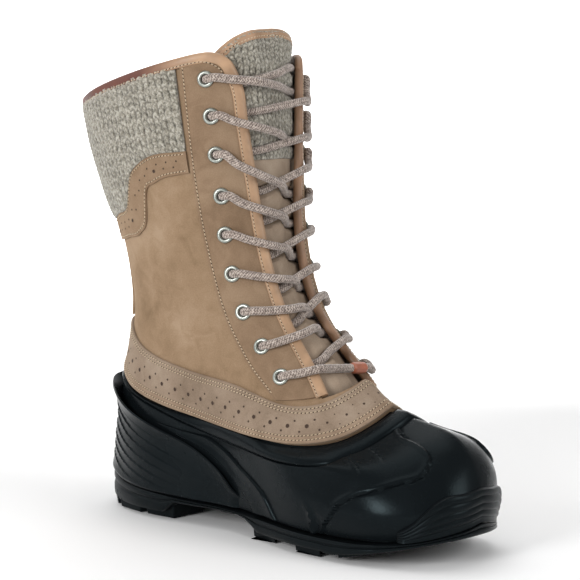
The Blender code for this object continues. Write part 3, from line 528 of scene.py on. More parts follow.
# Toe bumper. A ribbed lip of black rubber against scuffs, wrapped up over the front of the toe. It
# belongs to the sole's moulding and is bonded to the shell behind it.
BUMPER_TOP = ((0.79, 0.36), (0.82, 0.62), (0.84, 0.82), (0.87, 1.01), (0.90, 1.08), (0.96, 0.98),
              (1.00, 0.93))
BUMPER_START = 0.79
BUMPER_END = 1.21
BUMPER_FOOT = 0.03
BUMPER_RIBS = 5.0
BUMPER_RIB = 0.8
# Thickness under the top edge, what the foot has more, thickness at the ends and how soon it fades
BUMPER_THIN = 1.7
BUMPER_SWELL = 3.0
BUMPER_ENDS = 0.8
BUMPER_FADE = 5.0
TOE_MM_PER_TURN = 330
share = np.linspace(0, 1, 150)[:, None]
height = np.linspace(0, 1, 60)[None, :]
turn = BUMPER_START + (BUMPER_END - BUMPER_START) * share + 0 * height
level = BUMPER_FOOT + (curve(BUMPER_TOP, fold(turn)) - BUMPER_FOOT) * height
ends = np.minimum(share, 1 - share) * (BUMPER_END - BUMPER_START) * TOE_MM_PER_TURN
ribs = np.abs(np.sin(height * np.pi * BUMPER_RIBS)) ** 0.6 * smooth_step(0.1, 0.3, height)
lip = BUMPER_THIN + BUMPER_SWELL * (1 - height) ** 1.5 + BUMPER_RIB * ribs
lip = lip - 1.2 * (1 - smooth_step(0, 0.05, 1 - height))
lip = BUMPER_ENDS + (lip - BUMPER_ENDS) * np.sqrt(np.clip(ends / BUMPER_FADE, 0, 1))
bumper = shell_piece("toe_bumper_dressed", skin(turn, level, lip), skin(turn, level, 0.5), [sole_rubber])
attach(bumper, "root")
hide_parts("toe_bumper")

# Insole. A soft pad of pressed felt, rounded at its rim. It lies loose inside the shell, on the
# plug of the sole, and can be taken out to dry.
FOOTBED_THICKNESS = 4.0


def combine(tree, operation, *values):
    """Result of a math node, its inputs in order as numbers or sockets."""
    return add_node(tree, "ShaderNodeMath", dict(enumerate(values)), operation=operation).outputs[0]


def felt(name, colour):
    """Pressed felt: matt, clouded, with a fuzzy short nap."""
    material, tree, paint = start_material(name, Roughness=0.95, Sheen_Weight=0.3)
    place = add_node(tree, "ShaderNodeTexCoord").outputs["Object"]
    fuzz = noise(tree, place, 1400.0, 6.0)
    both = combine(tree, "ADD", fuzz, noise(tree, place, 60.0, 3.0))
    drive(tree, paint, Base_Color=mix(tree, fuzz, shade(colour, 0.65), shade(colour, 1.25)),
          Normal=bump_normal(tree, both, 0.5, 0.0006))
    return material


insole_felt = felt("insole_felt", (0.24, 0.23, 0.21, 1))
# How far out from the pad's edge, then the share of its thickness, from its underside up
PAD_SIDE = ((-1.2, 0.0), (-0.2, 0.1), (0.0, 0.4), (-0.1, 0.75), (-0.8, 0.97), (-2.0, 1.0))
PAD_INSET = 1.6
PAD_GAP = 0.3
turn = np.linspace(-1, 1, 160, endpoint=False)
pad_foot = skin(turn, 0.0)[:, 2] / MM + PLUG_HEIGHT + PAD_GAP
rings = [sole_ring(turn, out - SHELL_WALL - PAD_INSET, pad_foot + FOOTBED_THICKNESS * up)
         for out, up in PAD_SIDE]
insole = stack_rings("insole", rings, [insole_felt], 60)
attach(insole, "root")
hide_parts("footbed")

# Rubber shell. One moulding under the suede: a rolled rim above a groove, a raised toe cap that
# runs back as a foxing, a fin on the quarter, and two flex lines in the vamp below the roll.
SEAM_SAMPLES = 220
RIM_TOP = 2.97
RIM_GROOVE = ((0.00, 2.60), (0.44, 2.60), (0.50, 2.30), (0.55, 2.12), (0.60, 2.09), (0.65, 2.16),
              (0.71, 2.33), (0.78, 2.57), (0.85, 2.64), (1.00, 2.70))
CAP_EDGE = ((0.975, 2.72), (0.958, 2.69), (0.928, 2.49), (0.924, 2.23), (0.924, 1.99), (0.916, 1.81),
            (0.892, 1.66), (0.864, 1.59), (0.822, 1.61), (0.768, 1.55), (0.718, 1.44), (0.672, 1.13),
            (0.644, 0.52), (0.638, 0.10))
FIN = ((0.606, 1.30), (0.612, 0.90), (0.618, 0.50), (0.622, 0.06))
FLEX_LINES = (
    ((0.784, 2.58), (0.775, 2.30), (0.760, 1.98)),
    ((0.852, 2.66), (0.842, 2.40), (0.826, 2.12)),
)


def scale_up(turn, level):
    """Millimetres on the last per unit of level."""
    return np.linalg.norm(skin(turn, level + 0.02) - skin(turn, level - 0.02), axis=-1) / MM / 0.04


def seam_field(turn, level, seam):
    """Distance in millimetres from each place to a seam, the side it is on, and how far along."""
    steps = np.arange(len(seam))
    where = np.linspace(0, steps[-1], SEAM_SAMPLES)
    path = np.stack([curve(np.column_stack([steps, [p[k] for p in seam]]), where) for k in (0, 1)], -1)
    ahead = np.gradient(path, axis=0)
    tree = KDTree(SEAM_SAMPLES)
    for i, point in enumerate(skin(-path[:, 0], path[:, 1])):
        tree.insert(point, i)
    tree.balance()
    turn = np.abs(turn)
    shape = turn.shape
    found = [tree.find(p) for p in skin(-turn, level).reshape(-1, 3)]
    index = np.array([f[1] for f in found]).reshape(shape)
    gap = np.array([f[2] for f in found]).reshape(shape) / MM
    near = path[index]
    way = ahead[index]
    side = np.sign((turn - near[..., 0]) * way[..., 1] - (level - near[..., 1]) * way[..., 0])
    return gap, side, index / (SEAM_SAMPLES - 1)


def hump(distance, width):
    """Bell of height 1."""
    return np.exp(-(distance / width) ** 2)


def loop_piece(name, outer, inner, paints, marks=None, wrap=False, sharp=35):
    """Closed wall whose section runs up the outer rows and down the fewer inner rows."""
    columns, rows = outer.shape[:2]
    low_rows = inner.shape[1]
    total = rows + low_rows
    points = np.concatenate([outer, inner[:, ::-1]], axis=1)
    i = np.arange(columns if wrap else columns - 1)[:, None]
    j = np.arange(total)[None, :]
    nxt = (i + 1) % columns
    quads = np.stack([i * total + j, i * total + (j + 1) % total, nxt * total + (j + 1) % total,
                      nxt * total + j], -1).reshape(-1, 4).tolist()
    if not wrap:
        for column, flip in ((0, True), (columns - 1, False)):
            base = column * total
            k = 0
            for r in range(rows - 1):
                wanted = round((r + 1) / (rows - 1) * (low_rows - 1))
                inner_now = base + total - 1 - k
                face = [base + r, base + r + 1, inner_now]
                quads.append(face[::-1] if flip else face)
                while k < wanted:
                    face = [base + r + 1, base + total - 2 - k, base + total - 1 - k]
                    quads.append(face[::-1] if flip else face)
                    k += 1
    full = {m: np.concatenate([np.broadcast_to(v, (columns, rows)), np.zeros((columns, low_rows))], axis=1)
            for m, v in (marks or {}).items()}
    return new_piece(name, points, quads, paints, full, sharp)


shell_rubber = rubber("shell_rubber", (0.0030, 0.0041, 0.0049, 1), 0.20, 0.24)
ROLL_HEIGHT = 2.1
GROOVE_DEPTH = 0.9
CAP_HEIGHT = 1.1
CAP_BEAD = 0.5
CAP_CREASE = 0.6
FIN_HEIGHT = 2.4
FIN_HOLLOW = 1.0
FLEX_BEAD = 0.55
FLEX_CREASE = 0.7
SHELL_COLUMNS = 420
LIP_LEVELS = (2.98, 3.15, 3.32)
LIP_OFFSET = -2.5
# Levels of the shell's inside, then how much the wall is thinner there, or thicker if below zero
SHELL_INSIDE = ((0.02, 0.4), (0.60, 0.4), (1.25, 0.4), (1.75, 0.4), (2.15, 0.3), (2.50, 0.1),
                (2.80, -0.4), (3.00, -1.1), (3.32, -1.2))
turn = np.linspace(-1, 1, SHELL_COLUMNS, endpoint=False)[:, None]
groove = curve(RIM_GROOVE, np.abs(turn))
below = np.linspace(0.02, 1, 84)
above = np.linspace(0, 1, 26)[1:]
level = np.concatenate([below * groove, groove + (RIM_TOP - groove) * above], axis=1)
turn = np.repeat(turn, level.shape[1], axis=1)
scale = scale_up(turn, level)
over = (level - groove) * scale
span = (RIM_TOP - groove) * scale
roll = ROLL_HEIGHT * np.sin(np.pi * np.clip(over / span, 0, 1) ** 0.8) ** 0.7 * (over > 0)
relief = 0.3 + roll - GROOVE_DEPTH * hump(over, 0.8) - 0.1 * smooth_step(0.8, 1.0, over / span)
gap, side, _ = seam_field(turn, level, CAP_EDGE)
under_groove = smooth_step(0.2, 1.2, -over)
raised = np.where(side > 0, 1.0, -1.0) * gap
relief += under_groove * (CAP_HEIGHT * smooth_step(-0.5, 0.7, raised) + CAP_BEAD * hump(raised - 1.6, 1.4)
                          - CAP_CREASE * hump(raised + 0.3, 0.55))
gap, side, along = seam_field(turn, level, FIN)
fin_height = np.clip(along * 1.3, 0.0, 1.0) * smooth_step(1.2, 0.0, level) ** 0.3
relief += fin_height * (FIN_HEIGHT * hump(gap, 1.5) - FIN_HOLLOW * hump(gap - 3.6, 2.6) * (side < 0))
for line in FLEX_LINES:
    gap, side, along = seam_field(turn, level, line)
    fade = np.sin(np.pi * np.clip(along, 0.03, 0.97)) ** 0.5 * (gap < 6)
    relief += fade * (FLEX_BEAD * hump(gap - 1.0, 0.9) * (side > 0) - FLEX_CREASE * hump(gap, 0.5))
lip = skin(turn[:, :len(LIP_LEVELS)], LIP_LEVELS, LIP_OFFSET)
outer = np.concatenate([skin(turn, level, relief), lip], axis=1)
inner_level, thinner = np.array(SHELL_INSIDE).T
inner = skin(turn[:, :len(SHELL_INSIDE)], inner_level, thinner - SHELL_WALL)
shell = loop_piece("rubber_shell_dressed", outer, inner, [shell_rubber], wrap=True)
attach(shell, "root")
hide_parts("rubber_shell")

# Heel cup. A thicker moulding around the heel with contour ribs, its top edge a flared kick lip
# that stands off the shell, so that a boot can be pulled off with the other toe.
HEEL_CUP_END = 0.488
HEEL_CUP_TOP = ((0.00, 2.64), (0.12, 2.60), (0.24, 2.52), (0.30, 2.33), (0.355, 2.11), (0.41, 1.82),
                (0.445, 1.43), (0.470, 1.00), (HEEL_CUP_END, 0.45))
HEEL_CUP_SIDE = ((0.00, 6.4), (0.20, 4.2), (0.45, 3.2), (0.65, 3.2), (0.82, 5.2), (1.00, 9.0))
RIBS_PER_LEVEL = 3.4
CUP_RIB = 0.75
HEEL_MM_PER_TURN = 300
# Thickness at its front ends, gap to the shell, and how much further the lip stands off at the back
CUP_THIN = 2.6
CUP_GAP = 0.5
LIP_STAND = 2.9
share = np.linspace(-1, 1, 200)[:, None]
height = np.linspace(0, 1, 90)[None, :]
turn = HEEL_CUP_END * share + 0 * height
level = 0.03 + (curve(HEEL_CUP_TOP, np.abs(turn)) - 0.03) * height
back = np.cos(np.pi * turn) ** 0.5
out = CUP_THIN + (curve(HEEL_CUP_SIDE, height) - CUP_THIN) * back
stand = CUP_GAP + LIP_STAND * np.clip((height - 0.75) / 0.25, 0, 1) * back
rib = (level + 1.1 * (np.abs(turn) / 0.45) ** 2) * RIBS_PER_LEVEL % 1.0
rib_fade = (1 - smooth_step(0.22, 0.42, np.abs(turn))) * smooth_step(0.05, 0.15, height) * (
    1 - smooth_step(0.72, 0.84, height))
out = out + CUP_RIB * rib_fade * (rib ** 1.5 - 0.5)
ends = (1 - np.abs(share)) * HEEL_CUP_END * HEEL_MM_PER_TURN
out = stand + (out - stand) * np.clip(ends / 3.0, 0, 1) ** 0.5
out = out - 0.9 * (1 - smooth_step(0, 0.035, 1 - height)) - 0.7 * (1 - smooth_step(0, 0.03, height))
out = np.maximum(out, stand + 0.2)
cup = loop_piece("heel_cup_dressed", skin(turn, level, out), skin(turn, level, stand)[:, ::15],
                 [shell_rubber])
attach(cup, "root")
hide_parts("heel_cup")

# Stabilisers. A smooth raised band of black rubber on each side, from the heel's rim to the waist,
# moulded on the shell in front of the heel cup.
STABILISER_REAR = ((0.0, 0.498), (0.6, 0.490), (1.0, 0.477), (1.4, 0.454), (1.8, 0.418),
                   (2.1, 0.364), (2.5, 0.290))
STABILISER_FRONT = ((0.0, 0.552), (0.4, 0.540), (1.0, 0.522), (1.4, 0.502), (1.8, 0.484),
                    (2.5, 0.450))
STABILISER_FOOT = 0.03
STABILISER_HEIGHT = 2.29
BAND_EDGE = 0.7
BAND_CROWN = 2.4
BAND_DISH = 0.5
SIDES = ((-1, "lateral"), (1, "medial"))
for sign, side_name in SIDES:
    share = np.linspace(0, 1, 28)[:, None]
    height = np.linspace(0, 1, 110)[None, :]
    level = STABILISER_FOOT + STABILISER_HEIGHT * height + 0 * share
    turn = curve(STABILISER_REAR, level) * (1 - share) + curve(STABILISER_FRONT, level) * share
    turn = turn + 0.006 * (1 - share)
    crown = np.clip(np.minimum(share, 1 - share) / 0.10, 0, 1) ** 0.5
    tip = np.clip(np.minimum(height, 1 - height) / 0.03, 0, 1) ** 0.5
    out = BAND_EDGE + BAND_CROWN * crown * tip - BAND_DISH * np.sin(np.pi * share) ** 2
    band = shell_piece("stabiliser_%s_dressed" % side_name, skin(sign * turn, level, out),
                       skin(sign * turn, level, 0.4), [shell_rubber])
    if sign < 0:
        band.data.flip_normals()
    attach(band, "root")
    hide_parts("stabiliser_%s" % side_name)

# Upper. The shaft of brushed suede in one wall 2 mm thick, lined with soft cloth, open at the
# collar and down the throat, and tucked into the rubber shell's rim below.
THROAT_FOOT = 3.68
THROAT_EDGE = ((3.00, 0.83), (7.30, 0.83), (7.60, 0.82), (7.75, 0.80), (7.90, 0.76))
COLLAR = 7.93
UPPER_WALL = 2.0
# Eyelets from the top down: level and turn, the levels where the strands to the next pair dive
# under the outer and the inner edge, and the level where the inner one rides over its own edge
EYELETS = (
    (7.70, 0.732, 7.38, 7.55, 7.48),
    (7.38, 0.738, 7.05, 7.14, 7.18),
    (7.04, 0.740, 6.62, 6.57, 6.88),
    (6.59, 0.740, 6.27, 6.21, 6.49),
    (6.12, 0.730, 5.84, 5.79, 6.08),
    (5.59, 0.722, 5.36, 5.35, 5.58),
    (5.02, 0.718, 4.86, 4.96, 5.13),
    (4.50, 0.730, 4.25, 4.67, 4.42),
    (4.04, 0.744, 4.04, 4.04, 3.92),
)
HOLE_RADIUS = 2.7
# Soft folds of the shaft: a line of places, then the depth and the width in millimetres
FOLDS = (
    (((0.10, 5.25), (0.30, 5.05), (0.50, 5.30), (0.64, 5.60)), 0.7, 7.0),
    (((0.06, 4.85), (0.25, 4.62), (0.45, 4.70), (0.62, 5.00)), 0.6, 6.0),
    (((0.20, 5.80), (0.38, 5.72), (0.55, 6.00)), 0.5, 8.0),
)


def linear(red, green, blue):
    """Colour seen as 0 to 255 on a screen, as the shader wants it."""
    return tuple((v / 255 / 12.92 if v < 10 else ((v / 255 + 0.055) / 1.055) ** 2.4)
                 for v in (red, green, blue)) + (1.0,)


def ramp(tree, value, first, middle, last):
    """Colour that follows a value through three stops, each a place and a colour."""
    made = add_node(tree, "ShaderNodeValToRGB", {"Fac": value})
    stops = made.color_ramp.elements
    for k, (place, colour) in enumerate((first, last)):
        stops[k].position = place
        stops[k].color = colour
    stops.new(middle[0]).color = middle[1]
    return made.outputs["Color"]


def suede(name, dark, middle, light, mark=None, marked=None):
    """Brushed split leather: clouds and finger strokes in the nap, fine fibres, a soft sheen."""
    material, tree, paint = start_material(name, Roughness=0.93, Sheen_Weight=0.35, Sheen_Roughness=0.45,
                                           Sheen_Tint=shade(light, 1.6), Specular_IOR_Level=0.2)
    place = add_node(tree, "ShaderNodeTexCoord").outputs["Object"]
    drift = noise(tree, place, 16.0, 3.0, Distortion=0.6)
    strokes = noise(tree, place, 75.0, 4.0, Distortion=1.2)
    fibre = noise(tree, place, 1500.0, 4.0)
    total = combine(tree, "MULTIPLY", drift, 0.55)
    total = combine(tree, "MULTIPLY_ADD", strokes, 0.25, total)
    total = combine(tree, "MULTIPLY_ADD", fibre, 0.20, total)
    colour = ramp(tree, total, (0.36, dark), (0.5, middle), (0.64, light))
    if mark:
        where = add_node(tree, "ShaderNodeAttribute", attribute_name=mark).outputs["Fac"]
        colour = mix(tree, where, colour, marked, "MULTIPLY")
    drive(tree, paint, Base_Color=colour, Normal=bump_normal(tree, total, 0.55, 0.0010))
    return material


def scale_around(turn, level):
    """Millimetres on the last per unit of turn."""
    return np.linalg.norm(skin(turn + 0.004, level) - skin(turn - 0.004, level), axis=-1) / MM / 0.008


def eyelet_cells(turn, level, radius):
    """Cells of a grid that lie in an eyelet's hole."""
    points = skin(turn, level)
    centres = (points[:-1, :-1] + points[1:, 1:]) / 2
    inside = np.zeros(centres.shape[:2], bool)
    for sign in (-1, 1):
        for row_level, row_turn in [row[:2] for row in EYELETS]:
            middle = skin(sign * row_turn, row_level)
            inside |= np.linalg.norm(centres - middle, axis=-1) < radius * MM
    return inside


quarter_suede = suede("quarter_suede", linear(118, 96, 72), linear(142, 118, 93), linear(159, 136, 112))
lining_cloth = felt("lining_cloth", linear(150, 128, 104))
throat = THROAT_EDGE[0][1]
wrap_columns = 181
bridge_columns = 24
low_rows = np.linspace(3.03, THROAT_FOOT, 12)
levels = np.r_[low_rows, np.linspace(THROAT_FOOT, COLLAR, 112)[1:]]
turn = np.r_[np.linspace(-throat, throat, wrap_columns),
             np.linspace(throat, 2 - throat, bridge_columns + 2)[1:-1]]
level = np.tile(levels, (len(turn), 1))
turn = np.tile(turn[:, None], (1, len(levels)))
turn[:wrap_columns] *= curve(THROAT_EDGE, level[:wrap_columns]) / throat
kept = np.ones((len(turn), len(levels) - 1), bool)
kept[wrap_columns - 1:, len(low_rows) - 1:] = False
kept[:wrap_columns - 1] &= ~eyelet_cells(turn[:wrap_columns], level[:wrap_columns], HOLE_RADIUS)
relief = np.zeros(turn.shape)
for line, depth, width in FOLDS:
    gap, _, along = seam_field(fold(turn), level, line)
    fade = np.sin(np.pi * np.clip(along, 0.02, 0.98))
    relief -= depth * fade * hump(gap, width)
inner = skin(turn, level, relief * 0.6 - UPPER_WALL)
upper = shell_piece("upper_dressed", skin(turn, level, relief), inner, [quarter_suede, lining_cloth],
                    wrap=True, kept=kept)
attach(upper, "root")
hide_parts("upper")

# Mudguard. A suede band sewn around the foot of the shaft over the rubber's rim, double stitched
# along its top, with a narrow turned strip below and a row of punched holes along its middle.
MUDGUARD_TOP = ((0.00, 4.50), (0.16, 4.41), (0.31, 4.06), (0.46, 3.90), (0.61, 3.83), (0.70, 3.67),
                (1.00, 3.66))
RIM_MEET = 3.03
OVERLAY = 1.7
BASE = 0.2


def bound(value, where):
    """A number, or a table read at a place."""
    return curve(value, where) if isinstance(value, tuple) else np.full(np.shape(where), float(value))


def spread(first, last, middle):
    """Rows at distances from both edges and evenly between: share, and the two distances."""
    inner = np.linspace(0, 1, middle + 2)[1:-1]
    rows = [(0.0, d, 0.0) for d in first] + [(m, first[-1], last[-1]) for m in inner]
    return np.array(rows + [(1.0, 0.0, d) for d in last[::-1]])


def between(rows, low, high, scale):
    """Places between two edges, from shares and distances in mm that each stand in a row."""
    return (1 - rows[..., 0]) * (low + rows[..., 1] / scale) + rows[..., 0] * (high - rows[..., 2] / scale)


def panel(start, end, low, high, across, up):
    """Grid of a panel between four edges, and how far each place lies from each edge, in mm."""
    across = np.asarray(across)[:, None, :]
    up = np.asarray(up)[None, :, :]
    shape = (across.shape[0], up.shape[1])
    turn = np.zeros(shape) + (bound(start, 5.0) + bound(end, 5.0)) / 2
    level = np.zeros(shape) + (bound(low, 0.5) + bound(high, 0.5)) / 2
    for _ in range(6):
        tall = scale_up(turn, level)
        wide = scale_around(turn, level)
        level = between(up, bound(low, fold(turn)), bound(high, fold(turn)), tall)
        turn = between(across, bound(start, level), bound(end, level), wide)
    gaps = {
        "low": (level - bound(low, fold(turn))) * tall,
        "high": (bound(high, fold(turn)) - level) * tall,
        "start": (turn - bound(start, level)) * wide,
        "end": (bound(end, level) - turn) * wide,
    }
    return turn, level, gaps


def cut_edge(gap):
    """Rounding of a cut leather edge, in millimetres down."""
    return 0.45 * (1 - smooth_step(0.0, 0.7, gap))


def sewn(gap, *rows):
    """Trough that rows of stitches pull into the leather, in millimetres down."""
    return sum(0.28 * hump(gap - row, 0.65) for row in rows)


def seam_rows(*rows):
    """Distances from an edge where a panel needs rows of points for its edge and its stitches."""
    steps = {0.0, 0.25, 0.7}
    for row in rows:
        steps |= {round(row - 0.8, 2), round(row - 0.35, 2), row, round(row + 0.35, 2), round(row + 0.8, 2)}
    return sorted(steps)


# Distances where a panel needs rows of points along an edge without stitches
PLAIN_ROWS = (0.0, 0.7)
MUDGUARD_STITCHES = (2.0, 4.4)
STRIP = 5.4
STRIP_STITCHES = (2.6, 5.9)
mudguard_suede = suede("mudguard_suede", linear(116, 99, 83), linear(140, 122, 105), linear(158, 142, 125),
                       "strip", (1.02, 0.98, 0.94, 1))
columns = np.linspace((0, 0, 0), (1, 0, 0), 360, endpoint=False)
rows = spread(seam_rows(*STRIP_STITCHES), seam_rows(*MUDGUARD_STITCHES), 16)
turn, level, gaps = panel(-1.0, 1.0, RIM_MEET, MUDGUARD_TOP, columns, rows)
on_strip = 1 - smooth_step(STRIP - 0.25, STRIP + 0.25, gaps["low"])
relief = OVERLAY - cut_edge(gaps["high"]) - cut_edge(gaps["low"]) - sewn(gaps["high"], *MUDGUARD_STITCHES)
relief += 0.35 * on_strip - sewn(gaps["low"], *STRIP_STITCHES)
mudguard = shell_piece("mudguard_dressed", skin(turn, level, relief), skin(turn, level, BASE),
                       [mudguard_suede], {"strip": on_strip}, wrap=True)
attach(mudguard, "root")
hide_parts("mudguard")

# Backstay. A strip of the shaft's suede over its back seam, cut to an even width and sewn down
# with one row of stitches along each side.
BACKSTAY_HALF = 0.83 * 2 / 12
BACKSTAY_FOOT = 4.54
BACKSTAY_TOP = 6.10
BACKSTAY_STITCH = 1.8
sides = seam_rows(BACKSTAY_STITCH)
turn, level, gaps = panel(-BACKSTAY_HALF, BACKSTAY_HALF, BACKSTAY_FOOT, BACKSTAY_TOP,
                          spread(sides, sides, 10), spread(PLAIN_ROWS, PLAIN_ROWS, 30))
relief = OVERLAY - sum(cut_edge(gaps[k]) + sewn(gaps[k], BACKSTAY_STITCH) for k in ("start", "end"))
backstay = shell_piece("backstay_dressed", skin(turn, level, relief), skin(turn, level, BASE),
                       [quarter_suede])
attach(backstay, "root")
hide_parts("backstay")

# Eyestays. Darker suede facings down both sides of the throat, sewn along the rear edge and along
# the rolled leather edge in front, with nine holes each for the eyelets.
EYESTAY_REAR = ((3.60, 0.71), (3.80, 0.69), (4.10, 0.665), (4.60, 0.65), (6.00, 0.65), (8.00, 0.66))
EYESTAY_STITCH = 2.0
trim_suede = suede("trim_suede", linear(110, 89, 69), linear(133, 110, 88), linear(149, 127, 104))
for sign, side_name in SIDES:
    turn, level, gaps = panel(EYESTAY_REAR, THROAT_EDGE, THROAT_FOOT + 0.03, COLLAR,
                              spread(seam_rows(EYESTAY_STITCH), PLAIN_ROWS, 30),
                              spread(PLAIN_ROWS, PLAIN_ROWS, 190))
    relief = OVERLAY - cut_edge(gaps["start"]) - sewn(gaps["start"], EYESTAY_STITCH)
    kept = ~eyelet_cells(turn, level, HOLE_RADIUS)
    outer = skin(sign * turn, level, relief)
    inner = skin(sign * turn, level, BASE)
    if sign < 0:
        outer, inner, kept = outer[::-1], inner[::-1], kept[::-1]
    eyestay = shell_piece("eyestay_%s_dressed" % side_name, outer, inner, [trim_suede], kept=kept)
    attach(eyestay, "root")
    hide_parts("eyestay_%s" % side_name)

# Knit cuff. A padded collar of chunky heather yarn, worked in chains of stitches with small holes
# between them, from one eyestay around the back to the other.
CUFF_FOOT = ((0.00, 6.42), (0.30, 6.46), (0.39, 6.58), (0.44, 6.92), (0.48, 7.03), (0.66, 7.11))
CUFF_PAD = 3.3
CUFF_BACK_PAD = 5.3
WALE = 4.3
COURSE = 3.5


def knit_relief(across, up):
    """Height from 0 to 1 of a stitch pattern in mm, how much of a hole, and how much painted shade its
    hollows and holes get.
    """
    across = across + 0.35 * np.sin(up * 0.55) + 0.25 * np.sin(up * 1.7 + across * 0.4)
    up = up + 0.30 * np.sin(across * 0.9)
    wale = across / WALE
    column = np.floor(wale)
    inside = np.abs(2 * (wale - column) - 1)
    course = up / COURSE + 0.55 * inside + 0.5 * (column % 2)
    stitch = np.floor(course)
    share = course - stitch
    leg = np.sin(np.pi * np.clip(inside * 0.86 + 0.10, 0, 1)) ** 0.7
    bead = np.sin(np.pi * share) ** 0.8
    lump = 0.85 + 0.3 * np.sin(column * 12.9898 + stitch * 78.233) ** 2
    height = np.clip((0.30 + 0.70 * bead * leg) * lump, 0, 1.1)
    hole = hump(1 - inside, 0.30) * hump(share - 0.5, 0.30) * (((column + stitch) % 2) < 0.5)
    # Painted shade: darker where the stitch lies low, darkest in the holes
    depth = np.clip(1.1 - 1.5 * height, 0, 0.75) + 0.9 * hole
    return height, hole, np.clip(depth, 0, 1)


def yarn(name, dark, middle, light):
    """Heather wool: mixed fibres of three greys and browns, with painted shade in the hollows, fuzzy."""
    material, tree, paint = start_material(name, Roughness=0.95, Sheen_Weight=0.4, Specular_IOR_Level=0.15)
    place = add_node(tree, "ShaderNodeTexCoord").outputs["Object"]
    fleck = noise(tree, place, 620.0, 5.0, Roughness=0.7)
    colour = ramp(tree, fleck, (0.36, dark), (0.5, middle), (0.62, light))
    # The depth mark darkens the colour to a fifth of the dark tone, as painted shade in the hollows and
    # holes
    depth = add_node(tree, "ShaderNodeAttribute", attribute_name="depth").outputs["Fac"]
    drive(tree, paint, Base_Color=mix(tree, depth, colour, shade(dark, 0.20)),
          Normal=bump_normal(tree, noise(tree, place, 1800.0, 4.0), 0.6, 0.0008))
    return material


heather_yarn = yarn("heather_yarn", linear(122, 115, 102), linear(158, 153, 140), linear(190, 185, 173))
CUFF_END = 0.646
CUFF_COLUMNS = 430
CUFF_ROWS = 150
# Level from which the courses of the knit are counted
KNIT_ZERO = 6.4
share = np.linspace(-1, 1, CUFF_COLUMNS)[:, None]
height = np.linspace(0, 1, CUFF_ROWS)[None, :]
turn = CUFF_END * share + 0 * height
level = curve(CUFF_FOOT, fold(turn)) * (1 - height) + COLLAR * height
across = np.cumsum(scale_around(turn, level) * 2 * CUFF_END / (CUFF_COLUMNS - 1), axis=0)
across = (across - across[CUFF_COLUMNS // 2])[:, CUFF_ROWS // 2, None] + 0 * height
up = (level - KNIT_ZERO) * scale_up(turn, level).mean()
height_map, hole, depth = knit_relief(across, up)
thick = CUFF_PAD + (CUFF_BACK_PAD - CUFF_PAD) * np.cos(np.pi * np.clip(turn, -0.5, 0.5))
pad = 0.5 * CUFF_PAD + (thick - 0.5 * CUFF_PAD) * np.sin(np.pi * np.clip(height, 0.0, 1)) ** 0.5
pad = pad * np.clip((1 - np.abs(share)) * 30, 0.45, 1) ** 0.4
relief = np.maximum(pad - 0.5 + 1.0 * height_map - 1.3 * hole, 0.6)
# Its depth mark carries the painted shade of the knit's hollows and holes
cuff = loop_piece("knit_cuff_dressed", skin(turn, level, relief), skin(turn, level, BASE)[:, ::37],
                  [heather_yarn], {"depth": depth}, sharp=180)
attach(cuff, "root")
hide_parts("knit_cuff")

# Cuff trim. A shaped band of darker suede under the knit, cut to follow the cuff's foot, sewn
# along both edges and punched with small holes.
TRIM_FOOT = ((0.00, 6.12), (0.34, 6.14), (0.42, 6.20), (0.46, 6.35), (0.49, 6.72), (0.52, 6.79),
             (0.66, 6.88))
TRIM_STITCH = 1.6
edges = seam_rows(TRIM_STITCH)
turn, level, gaps = panel(-CUFF_END, CUFF_END, TRIM_FOOT, CUFF_FOOT,
                          spread(PLAIN_ROWS, PLAIN_ROWS, 240), spread(edges, edges, 8))
relief = OVERLAY - sum(cut_edge(gaps[k]) + sewn(gaps[k], TRIM_STITCH) for k in ("low", "high"))
trim = shell_piece("cuff_trim_dressed", skin(turn, level, relief), skin(turn, level, BASE),
                   [trim_suede])
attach(trim, "root")
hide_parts("cuff_trim")

# Thread. Waxed cream thread in lock stitches: short slanted beads with a needle hole between them,
# made as a small dark disc of painted shade. The rows follow the edges of the panels; the holes
# punched in the suede are made here as well, their insides a flat disc of painted shade.
THREAD = 0.30
PITCH = 2.3
SLANT = 0.22
BEAD_SHARE = 0.66


def thread(name, colour):
    """Twisted waxed thread, its plies a little darker between."""
    material, tree, paint = start_material(name, Roughness=0.55, Sheen_Weight=0.2)
    place = add_node(tree, "ShaderNodeTexCoord").outputs["Object"]
    ply = noise(tree, place, 900.0, 2.0)
    drive(tree, paint, Base_Color=mix(tree, ply, shade(colour, 0.55), shade(colour, 1.2)))
    return material


def reach_along(line):
    """Distance of each point of a line from its start."""
    return np.r_[0, np.cumsum(np.linalg.norm(np.diff(line, axis=0), axis=1))]


def at_reach(where, reach, values):
    """Points or directions that belong to a line, at distances along it."""
    return np.stack([np.interp(where, reach, values[:, k]) for k in range(3)], -1)


